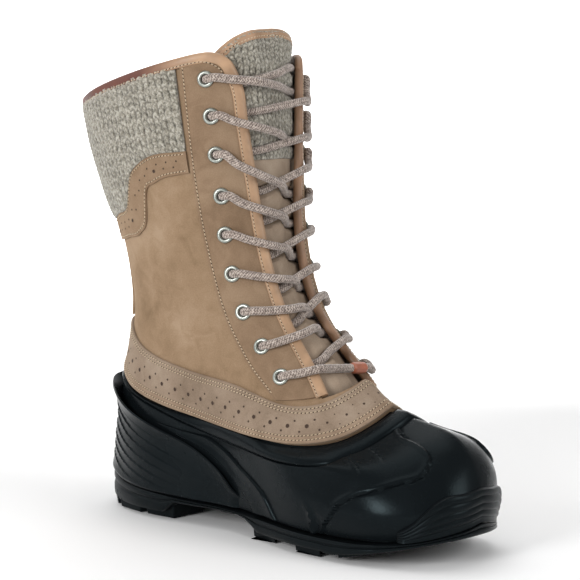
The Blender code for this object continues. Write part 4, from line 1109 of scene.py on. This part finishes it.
def stitches(name, routes):
    """Lock stitches along routes of turn, level and offset, with needle holes of painted shade between
    them.
    """
    rings, sides = 5, 6
    along = np.array([-0.5, -0.36, 0.0, 0.36, 0.5])
    fat = np.array([0.25, 0.85, 1.0, 0.85, 0.25]) * THREAD
    angle = 2 * np.pi * np.arange(sides) / sides
    shape = np.stack([
        np.repeat(along, sides),
        (fat[:, None] * np.cos(angle)).ravel(),
        (fat[:, None] * np.sin(angle) + (0.22 - 0.9 * along[:, None] ** 2)).ravel(),
    ], -1)
    bead = [[r * sides + k, r * sides + (k + 1) % sides, (r + 1) * sides + (k + 1) % sides,
             (r + 1) * sides + k] for r in range(rings - 1) for k in range(sides)]
    bead += [list(range(sides))[::-1], [(rings - 1) * sides + k for k in range(sides)]]
    # Needle hole: a flat dark dot of painted shade between two stitches
    corners = 8
    angle = 2 * np.pi * np.arange(corners) / corners
    dot = np.array([(0.40 * np.cos(a), 0.34 * np.sin(a), 0.0) for a in angle]
                   + [(0, 0, 0.05), (0, 0, -0.1)])
    dot_faces = [[k, (k + 1) % corners, corners] for k in range(corners)]
    dot_faces += [[(k + 1) % corners, k, corners + 1] for k in range(corners)]
    points, faces, slots = [], [], []
    count = 0
    for turn, level, offset in routes:
        line = skin(turn, level, offset) / MM
        reach = reach_along(line)
        number = max(2, int(reach[-1] / PITCH))
        places = (np.arange(number) + 0.5) * reach[-1] / number
        up = skin(turn, level, offset + 1) / MM - line
        for item, where, item_faces, tilt, slot in (
                (shape, places, bead, SLANT, 0),
                (dot, places[:-1] + reach[-1] / number / 2, dot_faces, 0.0, 1)):
            centre = at_reach(where, reach, line)
            normal = at_reach(where, reach, up)
            ahead = at_reach(where + 0.3, reach, line) - at_reach(where - 0.3, reach, line)
            ahead /= np.linalg.norm(ahead, axis=1, keepdims=True)
            side = np.cross(normal, ahead)
            first = ahead * math.cos(tilt) + side * math.sin(tilt)
            second = np.cross(normal, first)
            stretch = PITCH * BEAD_SHARE if slot == 0 else 1.0
            made = (centre[:, None] + first[:, None] * item[None, :, :1] * stretch
                    + second[:, None] * item[None, :, 1:2] + normal[:, None] * item[None, :, 2:])
            points.append(made.reshape(-1, 3) * MM)
            for _ in where:
                faces += [[v + count for v in face] for face in item_faces]
                slots += [slot] * len(item_faces)
                count += len(item)
    made = new_piece(name, np.concatenate(points), faces, [cream_thread, painted_hole_shade], sharp=180)
    made.data.polygons.foreach_set("material_index", np.array(slots, np.int32))
    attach(made, "root")
    return made


def punched(name, places, paint):
    """Punched holes with a pressed lip and a flat dark floor of painted shade: places of turn, level,
    offset and radius.
    """
    corners = 14
    angle = 2 * np.pi * np.arange(corners) / corners
    rings = ((1.35, -0.03), (1.20, 0.10), (1.00, 0.06), (0.80, 0.03))
    points, faces, slots = [], [], []
    for n, (turn, level, offset, radius) in enumerate(places):
        centre = skin(turn, level, offset)
        normal = (skin(turn, level, offset + 1) - centre) / MM
        first = np.cross(normal, (0, 0, 1))
        first /= np.linalg.norm(first)
        second = np.cross(normal, first)
        circle = first * np.cos(angle)[:, None] + second * np.sin(angle)[:, None]
        base = n * (corners * len(rings) + 2)
        for share, height in rings:
            points.append(centre + (circle * radius * share + normal * height) * MM)
        points.append((centre + normal * 0.02 * MM)[None])
        points.append((centre - normal * 0.08 * MM)[None])
        top = base + corners * len(rings)
        # The inner ring and the middle are a flat disc of painted shade, not an opening
        for k in range(corners):
            nxt = (k + 1) % corners
            for r in range(len(rings) - 1):
                a = base + r * corners
                faces.append([a + k, a + nxt, a + corners + nxt, a + corners + k])
                slots.append(0 if r < 2 else 1)
            faces.append([top - corners + k, top - corners + nxt, top])
            slots.append(1)
            faces.append([base + nxt, base + k, top + 1])
            slots.append(0)
    made = new_piece(name, np.concatenate(points), faces, [paint, painted_hole_shade], sharp=180)
    made.data.polygons.foreach_set("material_index", np.array(slots, np.int32))
    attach(made, "root")
    return made


cream_thread = thread("cream_thread", linear(208, 186, 155))
# Dark brown discs of painted shade, put where needle holes and punched holes would be in shadow
painted_hole_shade, _, _ = start_material("painted_hole_shade", Base_Color=linear(58, 42, 32), Roughness=0.9)
# Height of the thread's middle on an overlay
SURFACE = 1.55


def row_off(bound_level, distance, start, end, samples=400, offset=SURFACE):
    """Stitch route that keeps a distance in mm above a level line, from a turn to a turn."""
    turn = np.linspace(start, end, samples)
    level = bound(bound_level, fold(turn))
    for _ in range(4):
        level = bound(bound_level, fold(turn)) + distance / scale_up(turn, level)
    return turn, level, np.full(samples, offset)


def row_beside(edge_turn, distance, low, high, sign):
    """Stitch route that keeps a distance in mm in front of an upright edge, from level to level."""
    level = np.linspace(low, high, 300)
    turn = bound(edge_turn, level)
    for _ in range(4):
        turn = bound(edge_turn, level) + distance / scale_around(turn, level)
    return sign * turn, level, np.full(len(level), SURFACE)


rows = [row_off(MUDGUARD_TOP, -d, -1, 1, 900) for d in MUDGUARD_STITCHES]
rows += [row_off(RIM_MEET, STRIP_STITCHES[0], -1, 1, 900, SURFACE + 0.35),
         row_off(RIM_MEET, STRIP_STITCHES[1], -1, 1, 900)]
stitches("mudguard_stitches", rows)
stitches("backstay_stitches", [row_beside(-BACKSTAY_HALF, BACKSTAY_STITCH, 4.60, 6.05, 1),
                               row_beside(BACKSTAY_HALF, -BACKSTAY_STITCH, 4.60, 6.05, 1)])
stitches("eyestay_stitches", [row_beside(EYESTAY_REAR, EYESTAY_STITCH, 3.80, 7.88, k) for k in (-1, 1)])
stitches("cuff_trim_stitches", [row_off(TRIM_FOOT, TRIM_STITCH, -0.64, 0.64),
                                row_off(CUFF_FOOT, -TRIM_STITCH, -0.64, 0.64)])

HOLE_SPACING = 11.7
BIG_HOLE = 1.2
SMALL_HOLE = 0.65
# The holes are smaller past this turn
TOE_HOLES_TURN = 0.80
TOE_HOLES = 0.6
turn = np.linspace(-1, 1, 2000)
level = (RIM_MEET + curve(MUDGUARD_TOP, fold(turn))) / 2
reach = reach_along(skin(turn, level)) / MM
number = round(reach[-1] / HOLE_SPACING)
holes = []
for k in range(number):
    for shift, share, radius in ((0.0, 0.50, BIG_HOLE), (0.5, 0.64, SMALL_HOLE), (0.5, 0.36, SMALL_HOLE)):
        place = float(np.interp((k + shift) * reach[-1] / number, reach, turn))
        top = float(curve(MUDGUARD_TOP, fold(place)))
        toe = TOE_HOLES if fold(place) > TOE_HOLES_TURN else 1.0
        holes.append((place, RIM_MEET + (top - RIM_MEET) * share, OVERLAY, radius * toe))
perforations = punched("mudguard_perforations", holes, mudguard_suede)
holes = []
for k in range(-18, 19):
    place = k * 0.034
    low, high = float(curve(TRIM_FOOT, fold(place))), float(curve(CUFF_FOOT, fold(place)))
    for shift, share, radius in ((0.0, 0.62, SMALL_HOLE), (0.012, 0.36, SMALL_HOLE if k % 4 else BIG_HOLE)):
        if fold(place + shift) < 0.635:
            holes.append((place + shift, low + (high - low) * share, OVERLAY, radius * 0.9))
perforations = punched("cuff_trim_perforations", holes, trim_suede)

# Edge binding. One strip of smooth tanned leather folded over both throat edges and the collar,
# stitched through behind the fold. Handling has darkened it to red-brown around the back, and the
# inner side near the throat is a little darker as well.
BINDING_LEAF = 3.0
BINDING_STITCH = 1.9
BINDING_SURFACE = 2.35
SIDE_TOP = 7.70


def leather(name, fresh, aged):
    """Smooth tanned leather: fine pores, a soft polish, darker where its tone mark says."""
    material, tree, paint = start_material(name, Coat_Weight=0.12, Coat_Roughness=0.3)
    place = add_node(tree, "ShaderNodeTexCoord").outputs["Object"]
    pores = add_node(tree, "ShaderNodeTexVoronoi", {"Vector": place, "Scale": 1300.0})
    cloud = noise(tree, place, 90.0, 5.0)
    tone_mark = add_node(tree, "ShaderNodeAttribute", attribute_name="darker_tone").outputs["Fac"]
    tone = mix(tree, tone_mark, fresh, aged)
    mottle = rescale(tree, cloud, 0.72, 1.12)
    drive(tree, paint, Base_Color=mix(tree, 1.0, tone, mottle, "MULTIPLY"),
          Roughness=rescale(tree, cloud, 0.42, 0.6),
          Normal=bump_normal(tree, pores.outputs["Distance"], 0.25, 0.0003))
    return material


def edge_frame(turn, level, offset, away):
    """Points of an edge, the way off its face, and the way out past the edge."""
    base = skin(turn, level, offset)
    face = (skin(turn, level, offset + 1) - base) / MM
    ahead = np.gradient(base, axis=0)
    out = np.cross(face, ahead)
    out /= np.linalg.norm(out, axis=1, keepdims=True)
    return base, face, out * np.sign(np.sum(out[0] * away))


def folded_strip(name, frame_of_edge, outer, inner, paint, marks):
    """Strip folded over an edge; its sections are in mm past the edge and off the face."""
    base, face, out = frame_of_edge
    grids = []
    for rows in (outer, inner):
        rows = np.broadcast_to(rows, (len(base),) + np.shape(rows)[-2:]) * MM
        grids.append(base[:, None] + out[:, None] * rows[..., :1] + face[:, None] * rows[..., 1:])
    return loop_piece(name, grids[0], grids[1], [paint], marks, sharp=60)


binding_leather = leather("binding_leather", linear(172, 138, 107), linear(99, 52, 37))
side_level = np.linspace(3.70, SIDE_TOP, 170)
side_turn = curve(THROAT_EDGE, side_level)
corner = ((float(side_turn[-1]), SIDE_TOP), (0.795, 7.80), (0.772, 7.875), (0.742, 7.918), (0.70, COLLAR))
steps = np.linspace(0, len(corner) - 1, 40)[1:]
corner_turn, corner_level = (curve([(i, c[k]) for i, c in enumerate(corner)], steps) for k in (0, 1))
back_turn = np.linspace(0.70, 0.0, 130)[1:]
half_turn = np.r_[side_turn, corner_turn, back_turn]
half_level = np.r_[side_level, corner_level, np.full(len(back_turn), COLLAR)]
turn = np.r_[-half_turn, half_turn[-2::-1]]
level = np.r_[half_level, half_level[-2::-1]]
away = skin(turn[0] - 0.02, level[0]) - skin(turn[0], level[0])
# How far the fold stands out past the edge: less along the collar and on the inner side
reach = 4.3 - 1.1 * smooth_step(SIDE_TOP, COLLAR, level) - 1.3 * (turn > 0) * (level < 7.75)
fold_line = np.array([(0.0, 2.50), (0.45, 2.45), (0.75, 1.95), (0.95, 1.05), (1.0, 0.0), (0.95, -1.0),
                      (0.78, -1.85), (0.45, -2.35), (0.0, -2.5)])
outer = np.stack([np.column_stack([
    np.r_[-BINDING_LEAF, -BINDING_LEAF + 0.05, -2.5, -1.9, -1.3, fold_line[:, 0] * r, -1.6, -2.7, -2.8],
    np.r_[1.74, 2.10, 2.42, 2.20, 2.42, fold_line[:, 1], -2.5, -2.45, -2.1]]) for r in reach])
inner = np.array([(-BINDING_LEAF, 1.72), (0.4, 1.72), (0.4, -2.05), (-2.8, -2.05)])
darker_tone = smooth_step(0.70, 0.52, fold(turn)) * smooth_step(7.8, 7.9, level)
# The inner side near the throat is a little darker as well
darker_tone = np.maximum(darker_tone, 0.35 * (turn > 0.6))[:, None]
binding = folded_strip("edge_binding_dressed", edge_frame(turn, level, 0.0, away), outer, inner,
                       binding_leather, {"darker_tone": darker_tone})
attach(binding, "root")
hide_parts("edge_binding")
behind = BINDING_STITCH / scale_around(turn, level) * np.sign(turn)
lower = BINDING_STITCH / scale_up(turn, level) * smooth_step(7.68, 7.86, level)
row_turn = np.where(level < SIDE_TOP, turn - behind, turn * (1 - BINDING_STITCH / 75 * (fold(turn) > 0.6)))
row_level = np.where(level < SIDE_TOP, level, level - lower)
stitches("binding_stitches", [(row_turn, row_level, np.full(len(turn), BINDING_SURFACE))])

# Tongue. A padded leaf behind the laces, suede below and the same knit as the cuff above, with
# the binding leather folded over its top.
TONGUE_DEPTH = 7.3
TONGUE_SINK = 0.34
# How far the padding swells out between the strands: behind the eyestays, in the open throat, the
# knit's share of that, what the inner side has more, and the most
PADDING_HIDDEN = 2.4
PADDING_SEEN = 4.6
PADDING_KNIT = 0.8
PADDING_INNER = 4.0
PADDING_MOST = 6.6
TONGUE_WALL = 4.0
TONGUE_TURN = 0.70
TONGUE_FOOT = 3.40
TONGUE_TOP = 8.28
# Levels that its inner and its outer top corner lie lower than its middle
TONGUE_CORNERS = (0.20, 0.56)
# Above the collar the tongue's inner side leans out over the throat's edge, to this offset
TONGUE_LEAN = -4.8
TONGUE_LEAN_LEVELS = (7.75, 8.10)
KNIT_FOOT = 6.96
TONGUE_SPAN = 0.6
TONGUE_ROWS = 170
TONGUE_KNIT_COLUMNS = 200
# Its suede is lighter than the quarter's: partly its own paler tone, partly painted light against the shade
# behind the laces
tongue_suede = suede("tongue_suede", linear(129, 112, 95), linear(154, 136, 118), linear(171, 154, 136))

# The lace presses the padding in, so its way is laid out here: from the outer top eyelet down and
# back up. Its middle lies at these heights over and under the throat's edges
LACE_RADIUS = 2.4
LACE_OVER = 4.8
LACE_UNDER = -4.6
# Rise of a strand over the tongue, more for one way and less for the other, so that they cross
STRAND_RISE = 3.0
STRAND_CLEAR = 2.1
TOP_BAR_RISE = 7.0
# How far past an eyelet's middle the lace lies in turns, and its offset, from inside to outside
EYELET_WAY = ((0.0, -5.2), (0.0, -1.5), (0.003, 2.2), (0.026, LACE_OVER - 0.1))
TOP_BAR = ((-0.80, 7.61), (-0.84, 7.62), (0.84, 7.77), (0.79, 7.78))


def smooth_route(points, spacing):
    """Points at an even spacing in metres along a smooth curve through a route."""
    points = np.asarray(points)
    lengths = reach_along(points)
    where = np.linspace(0, lengths[-1], int(lengths[-1] / spacing))
    return np.stack([curve(np.column_stack([lengths, points[:, k]]), where) for k in range(3)], -1)


def through_eyelet(side, number, outward):
    """Points where the lace passes an eyelet, from inside to outside or back."""
    level, turn = EYELETS[number - 1][:2]
    points = [skin(side * (turn + shift), level, offset) for shift, offset in EYELET_WAY]
    return points if outward else points[::-1]


def crossing(side, number, outward):
    """Lace from over one throat edge, across the tongue, to under the other edge."""
    over, _, outer_dive, inner_dive, inner_over = EYELETS[number - 1]
    level, under = (over, inner_dive) if side < 0 else (inner_over, outer_dive)
    rise = STRAND_RISE + (STRAND_CLEAR if side < 0 else -STRAND_CLEAR)
    first, second = (0.22, 0.50) if side < 0 else (0.0, 0.16)
    drop = under - level
    route = [skin(side * t, v, o) for t, v, o in (
        (0.800, level + drop * first, LACE_OVER + 0.1), (0.872, level + drop * second, LACE_OVER + 0.3),
        (-0.880, under, LACE_UNDER - 0.5), (-0.820, under, LACE_UNDER))]
    if side > 0:
        route.insert(0, skin(0.770, (over + level) / 2, LACE_OVER - 0.5))
    middle = (route[-3] + route[-2]) / 2
    route.insert(-2, middle + skin(1.0, (level + under) / 2, rise) - skin(1.0, (level + under) / 2))
    return route if outward else route[::-1]


FOOT_EYELET = len(EYELETS)
route = through_eyelet(-1, 1, True)
side = -1
for number in range(1, FOOT_EYELET):
    route += crossing(side, number, True)
    side = -side
    route += through_eyelet(side, number + 1, True)
outer_foot, inner_foot = EYELETS[-1][0], EYELETS[-1][-1]
bar_ends = [skin(t, outer_foot if t < 0 else inner_foot, LACE_OVER + 0.3)
            for t in (side * 0.800, side * 0.865, -side * 0.865, -side * 0.800)]
middle = [bar_ends[1] + (bar_ends[2] - bar_ends[1]) * v for v in (0.25, 0.5, 0.75)]
bar = bar_ends[:2] + middle + bar_ends[2:]
route += bar
side = -side
route += through_eyelet(side, FOOT_EYELET, False)
for number in range(FOOT_EYELET - 1, 0, -1):
    route += crossing(-side, number, False)
    side = -side
    route += through_eyelet(side, number, False)
top_turn = [skin(t, v, -5.0) for t, v in TOP_BAR]
top_turn.insert(2, (top_turn[1] + top_turn[2]) / 2 + skin(1.0, 7.7, TOP_BAR_RISE) - skin(1.0, 7.7))
route += top_turn[::-1]
lace_path = smooth_route(route, 0.62 * MM)
lace_places = KDTree(len(lace_path))
for number, place in enumerate(lace_path):
    lace_places.insert(place, number)
lace_places.balance()


def sag(level):
    """How far the last bulges past a straight line between the throat edges, in millimetres."""
    edge = curve(THROAT_EDGE, level)
    middle = (skin(edge, level) + skin(-edge, level)) / 2
    return np.linalg.norm(skin(np.ones_like(edge), level) - middle, axis=-1) / MM


def tongue_grid(foot, columns, rows):
    """Places on the tongue, its padded outside, its outside before the padding, and mm to its top."""
    turn = np.linspace(TONGUE_TURN, 2 - TONGUE_TURN, columns)[:, None] + np.zeros((1, rows))
    share = np.linspace(0, 1, rows)[None, :]
    top = TONGUE_TOP - np.where(turn < 1, *TONGUE_CORNERS) * ((turn - 1) / (1 - TONGUE_TURN)) ** 2
    level = foot + (top - foot) * share
    inside = np.clip((fold(turn) - TONGUE_TURN) / (1 - TONGUE_TURN), 0, 1)
    outer = -TONGUE_DEPTH - TONGUE_SINK * sag(level) * np.sin(0.5 * np.pi * inside) ** 2
    low, high = TONGUE_LEAN_LEVELS
    free = np.clip((level - low) / (high - low), 0, 1) * np.clip((1 - turn) / (1 - TONGUE_TURN) * 2, 0, 1)
    outer = outer + (TONGUE_LEAN - outer) * free
    reach = np.array([lace_places.find(p)[2] for p in skin(turn, level, outer).reshape(-1, 3)]) / MM
    open_share = smooth_step(LACE_RADIUS + 0.6, LACE_RADIUS + 4.2, reach.reshape(turn.shape)) * (1 - free)
    swell = PADDING_HIDDEN + (PADDING_SEEN - PADDING_HIDDEN) * smooth_step(0.77, 0.86, fold(turn))
    swell = np.minimum(PADDING_MOST, swell + PADDING_INNER * hump(fold(turn) - 0.88, 0.05) * (turn > 1))
    swell = swell * (1 - (1 - PADDING_KNIT) * smooth_step(6.6, 7.0, level)) * smooth_step(3.5, 3.9, level)
    return turn, level, outer + swell * open_share, outer, (top - level) * scale_up(turn, level)


turn, level, outer, flat_side, to_top = tongue_grid(TONGUE_FOOT, 72, TONGUE_ROWS)
thin = 1 - smooth_step(0.0, 12.0, to_top)
rim = np.minimum(1, np.minimum(turn - TONGUE_TURN, 2 - TONGUE_TURN - turn) / 0.02) ** 0.5
ripple = 0.35 * np.sin(level * 7.0 + 2.0 * np.sin(turn * 9.0)) * rim
relief = ripple - 1.4 * (1 - rim)
tongue = shell_piece("tongue_dressed", skin(turn, level, outer + relief),
                     skin(turn, level, flat_side - TONGUE_WALL + 1.4 * (1 - rim) + 0.6 * thin),
                     [tongue_suede, lining_cloth])
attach(tongue, "root")
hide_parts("tongue")

turn, level, outer, _, to_top = tongue_grid(KNIT_FOOT, TONGUE_KNIT_COLUMNS, TONGUE_ROWS)
across = np.cumsum(scale_around(turn, level) * TONGUE_SPAN / (TONGUE_KNIT_COLUMNS - 1), axis=0)
across = np.repeat(across[:, TONGUE_ROWS // 2, None], TONGUE_ROWS, axis=1)
up = (level - KNIT_ZERO) * scale_up(turn, level).mean()
height_map, hole, depth = knit_relief(across, up)
from_side = np.minimum(turn - TONGUE_TURN, 2 - TONGUE_TURN - turn)
near_edge = np.clip(np.minimum(from_side * 60, (level - KNIT_FOOT) * 22), 0, 1) ** 0.5
relief = 0.5 + near_edge * (0.5 + 0.9 * height_map - 1.0 * hole) - 0.6 * (1 - smooth_step(0, 8, to_top))
# Its depth mark carries the painted shade of the knit's hollows and holes
tongue_knit = loop_piece("tongue_knit_dressed", skin(turn, level, outer + relief),
                         skin(turn, level, outer + 0.2)[:, ::13], [heather_yarn], {"depth": depth},
                         sharp=180)
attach(tongue_knit, "root")
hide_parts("tongue_knit")

turn, level, outer, _, _ = (v[:, -1] for v in tongue_grid(KNIT_FOOT, 160, TONGUE_ROWS))
rim_frame = edge_frame(turn, level, outer - 1.4, np.array([0.0, 0.0, 1.0]))
fold_outer = np.array([(-4.3, 2.20), (-4.25, 2.70), (-3.6, 2.95), (-2.9, 2.70), (-2.2, 2.9), (-1.0, 2.6),
                       (0.6, 1.9), (1.6, 0.9), (1.9, 0.0), (1.6, -0.9), (0.6, -1.9), (-1.5, -2.6),
                       (-3.9, -2.8), (-4.0, -2.4)])
fold_inner = np.array([(-4.3, 2.15), (-0.2, 1.6), (-0.2, -1.6), (-4.0, -2.3)])
darker_tone = (0.10 + 0.75 * smooth_step(0.86, 0.76, turn))[:, None]
tongue_binding = folded_strip("tongue_binding_dressed", rim_frame, fold_outer, fold_inner, binding_leather,
                              {"darker_tone": darker_tone})
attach(tongue_binding, "root")
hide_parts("tongue_binding")
inset = slice(4, -4)
row_level = (level - 2.9 / scale_up(turn, level))[inset]
stitches("tongue_binding_stitches", [(turn[inset], row_level, (outer - 1.4 + 2.85)[inset])])

# Eyelets. Nine pairs of rolled brass rings with a pale plating, each set through the eyestay and
# the shaft: a spun section, modelled once at the origin and copied into its own place.
EYELET_SECTION = ((2.50, -3.2), (2.50, 2.1), (2.75, 2.75), (3.30, 3.10), (3.95, 3.12), (4.55, 2.75),
                  (4.95, 2.15), (4.75, 1.85), (3.10, 1.85), (2.90, 1.4), (2.85, -2.6), (3.30, -3.0),
                  (3.20, -3.4))
plated, tree, shader = start_material("plated_ring", Metallic=0.85)
place = add_node(tree, "ShaderNodeTexCoord").outputs["Object"]
haze = noise(tree, place, 700.0, 4.0)
drive(tree, shader, Base_Color=mix(tree, haze, linear(128, 132, 126), linear(186, 190, 182)),
      Roughness=rescale(tree, haze, 0.22, 0.42, 0.0, 1.0))
bpy.ops.object.select_all(action="DESELECT")
profile = new_piece("eyelet_pattern", [(r * MM, 0.0, z * MM) for r, z in EYELET_SECTION], [], [plated])
profile.data.edges.add(len(EYELET_SECTION))
for k, made_edge in enumerate(profile.data.edges):
    made_edge.vertices = (k, (k + 1) % len(EYELET_SECTION))
profile.select_set(True)
bpy.context.view_layer.objects.active = profile
bpy.ops.object.mode_set(mode="EDIT")
bpy.ops.mesh.select_all(action="SELECT")
bpy.ops.mesh.spin(steps=40, angle=2 * math.pi, center=(0, 0, 0), axis=(0, 0, 1))
bpy.ops.mesh.select_all(action="SELECT")
bpy.ops.mesh.remove_doubles(threshold=0.00001)
bpy.ops.mesh.normals_make_consistent(inside=False)
bpy.ops.object.mode_set(mode="OBJECT")
profile.data.shade_smooth()
for sign, side_name in SIDES:
    for number, (level, turn) in enumerate([row[:2] for row in EYELETS], 1):
        centre = Vector(skin(sign * turn, level))
        normal = (Vector(skin(sign * turn, level, 1.0)) - centre).normalized()
        eyelet = bpy.data.objects.new("eyelet_ring_%s_%d" % (side_name, number), profile.data.copy())
        bpy.context.collection.objects.link(eyelet)
        facing = normal.to_track_quat("Z", "Y").to_matrix().to_4x4()
        eyelet.data.transform(Matrix.Translation(centre) @ facing)
        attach(eyelet, "root")
        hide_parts("eyelet_%s_%d" % (side_name, number))
bpy.data.objects.remove(profile)

# Lace. One round braided cord laced in crosses through every eyelet, a straight bar at the foot.
# Both ends stop inside at the top eyelets, one of them after a last turn across the tongue.


def cord_piece(name, path, radius, sides, paint):
    """Round cord along a path with domed ends; its UV runs around it and along it in mm."""
    ahead = np.gradient(path, axis=0)
    ahead /= np.linalg.norm(ahead, axis=1, keepdims=True)
    across = np.zeros_like(path)
    across[0] = np.cross(ahead[0], (0, 0, 1))
    for i in range(1, len(path)):
        across[i] = across[i - 1] - ahead[i] * np.dot(across[i - 1], ahead[i])
        across[i] /= np.linalg.norm(across[i])
    other = np.cross(ahead, across)
    reach = reach_along(path)
    left = np.minimum(reach, reach[-1] - reach)
    radius = radius * MM * np.sqrt(np.clip(1 - (1 - np.clip(left / (radius * MM), 0, 1)) ** 2, 0.02, 1))
    angle = 2 * np.pi * np.arange(sides) / sides
    rib = 1 + 0.035 * np.cos(8 * angle)
    ring = across[:, None] * np.cos(angle)[None, :, None] + other[:, None] * np.sin(angle)[None, :, None]
    points = path[:, None] + ring * (radius[:, None] * rib)[..., None]
    n = len(path)
    i, k = np.meshgrid(np.arange(n - 1), np.arange(sides), indexing="ij")
    nxt = (k + 1) % sides
    quads = np.stack([i * sides + k, i * sides + nxt, (i + 1) * sides + nxt, (i + 1) * sides + k], -1)
    quads = quads.reshape(-1, 4)
    faces = quads.tolist() + [list(range(sides))[::-1], [(n - 1) * sides + v for v in range(sides)]]
    made = new_piece(name, points, faces, [paint], sharp=180)
    around = np.stack([k, k + 1, k + 1, k], -1).reshape(-1) / sides
    along = np.stack([reach[i], reach[i], reach[i + 1], reach[i + 1]], -1).reshape(-1) / MM
    uv = np.zeros((len(made.data.loops), 2), np.float32)
    uv[:len(around)] = np.stack([around, along], -1)
    made.data.uv_layers.new(name="braid").data.foreach_set("uv", uv.ravel())
    return made


PLIES = 16
TICK = 1.5


def braid(name, dark, middle, light):
    """Braided round cord: crossing plies with pale flecks, from the cord's own UV."""
    material, tree, paint = start_material(name, Roughness=0.8, Sheen_Weight=0.3)
    where = add_node(tree, "ShaderNodeUVMap", uv_map="braid").outputs["UV"]
    place = add_node(tree, "ShaderNodeTexCoord").outputs["Object"]
    parts = add_node(tree, "ShaderNodeSeparateXYZ", {"Vector": where}).outputs
    ply = combine(tree, "MULTIPLY", parts["X"], PLIES)
    ridge = combine(tree, "PINGPONG", ply, 1.0)
    along = combine(tree, "MULTIPLY", parts["Y"], 2 * math.pi / TICK)
    along = combine(tree, "MULTIPLY_ADD", combine(tree, "FLOOR", ply), 2.2, along)
    fleck = noise(tree, place, 700.0, 3.0)
    total = combine(tree, "MULTIPLY_ADD", combine(tree, "SINE", along), 0.16, fleck)
    total = combine(tree, "MULTIPLY_ADD", ridge, 0.10, total)
    colour = ramp(tree, total, (0.30, dark), (0.52, middle), (0.78, light))
    drive(tree, paint, Base_Color=colour, Normal=bump_normal(tree, total, 0.6, 0.0005))
    return material


lace_braid = braid("lace_braid", linear(84, 72, 66), linear(134, 119, 110), linear(196, 183, 172))
lace = cord_piece("lace", lace_path, LACE_RADIUS, 16, lace_braid)
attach(lace, "root")
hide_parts("lace_bottom_bar", "lace_top_bar",
            *["lace_crossing_%d" % k for k in range(1, FOOT_EYELET)])
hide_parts(*["lace_return_%d" % k for k in (1, 2, 8)])

# Lace keeper. A short sleeve of orange-brown leather, wrapped around the bar at the foot of the
# lace near its inner end.
KEEPER_RADIUS = 3.3
near, far = (bar[1], bar[-2]) if bar[1][1] < bar[-2][1] else (bar[-2], bar[1])
sleeve = smooth_route([near + (far - near) * v for v in (0.62, 0.73, 0.84, 0.95)], 0.25 * MM)
keeper_leather = leather("keeper_leather", linear(168, 98, 72), linear(120, 62, 40))
keeper = cord_piece("lace_keeper_dressed", sleeve, KEEPER_RADIUS, 40, keeper_leather)
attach(keeper, "root")
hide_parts("lace_keeper")
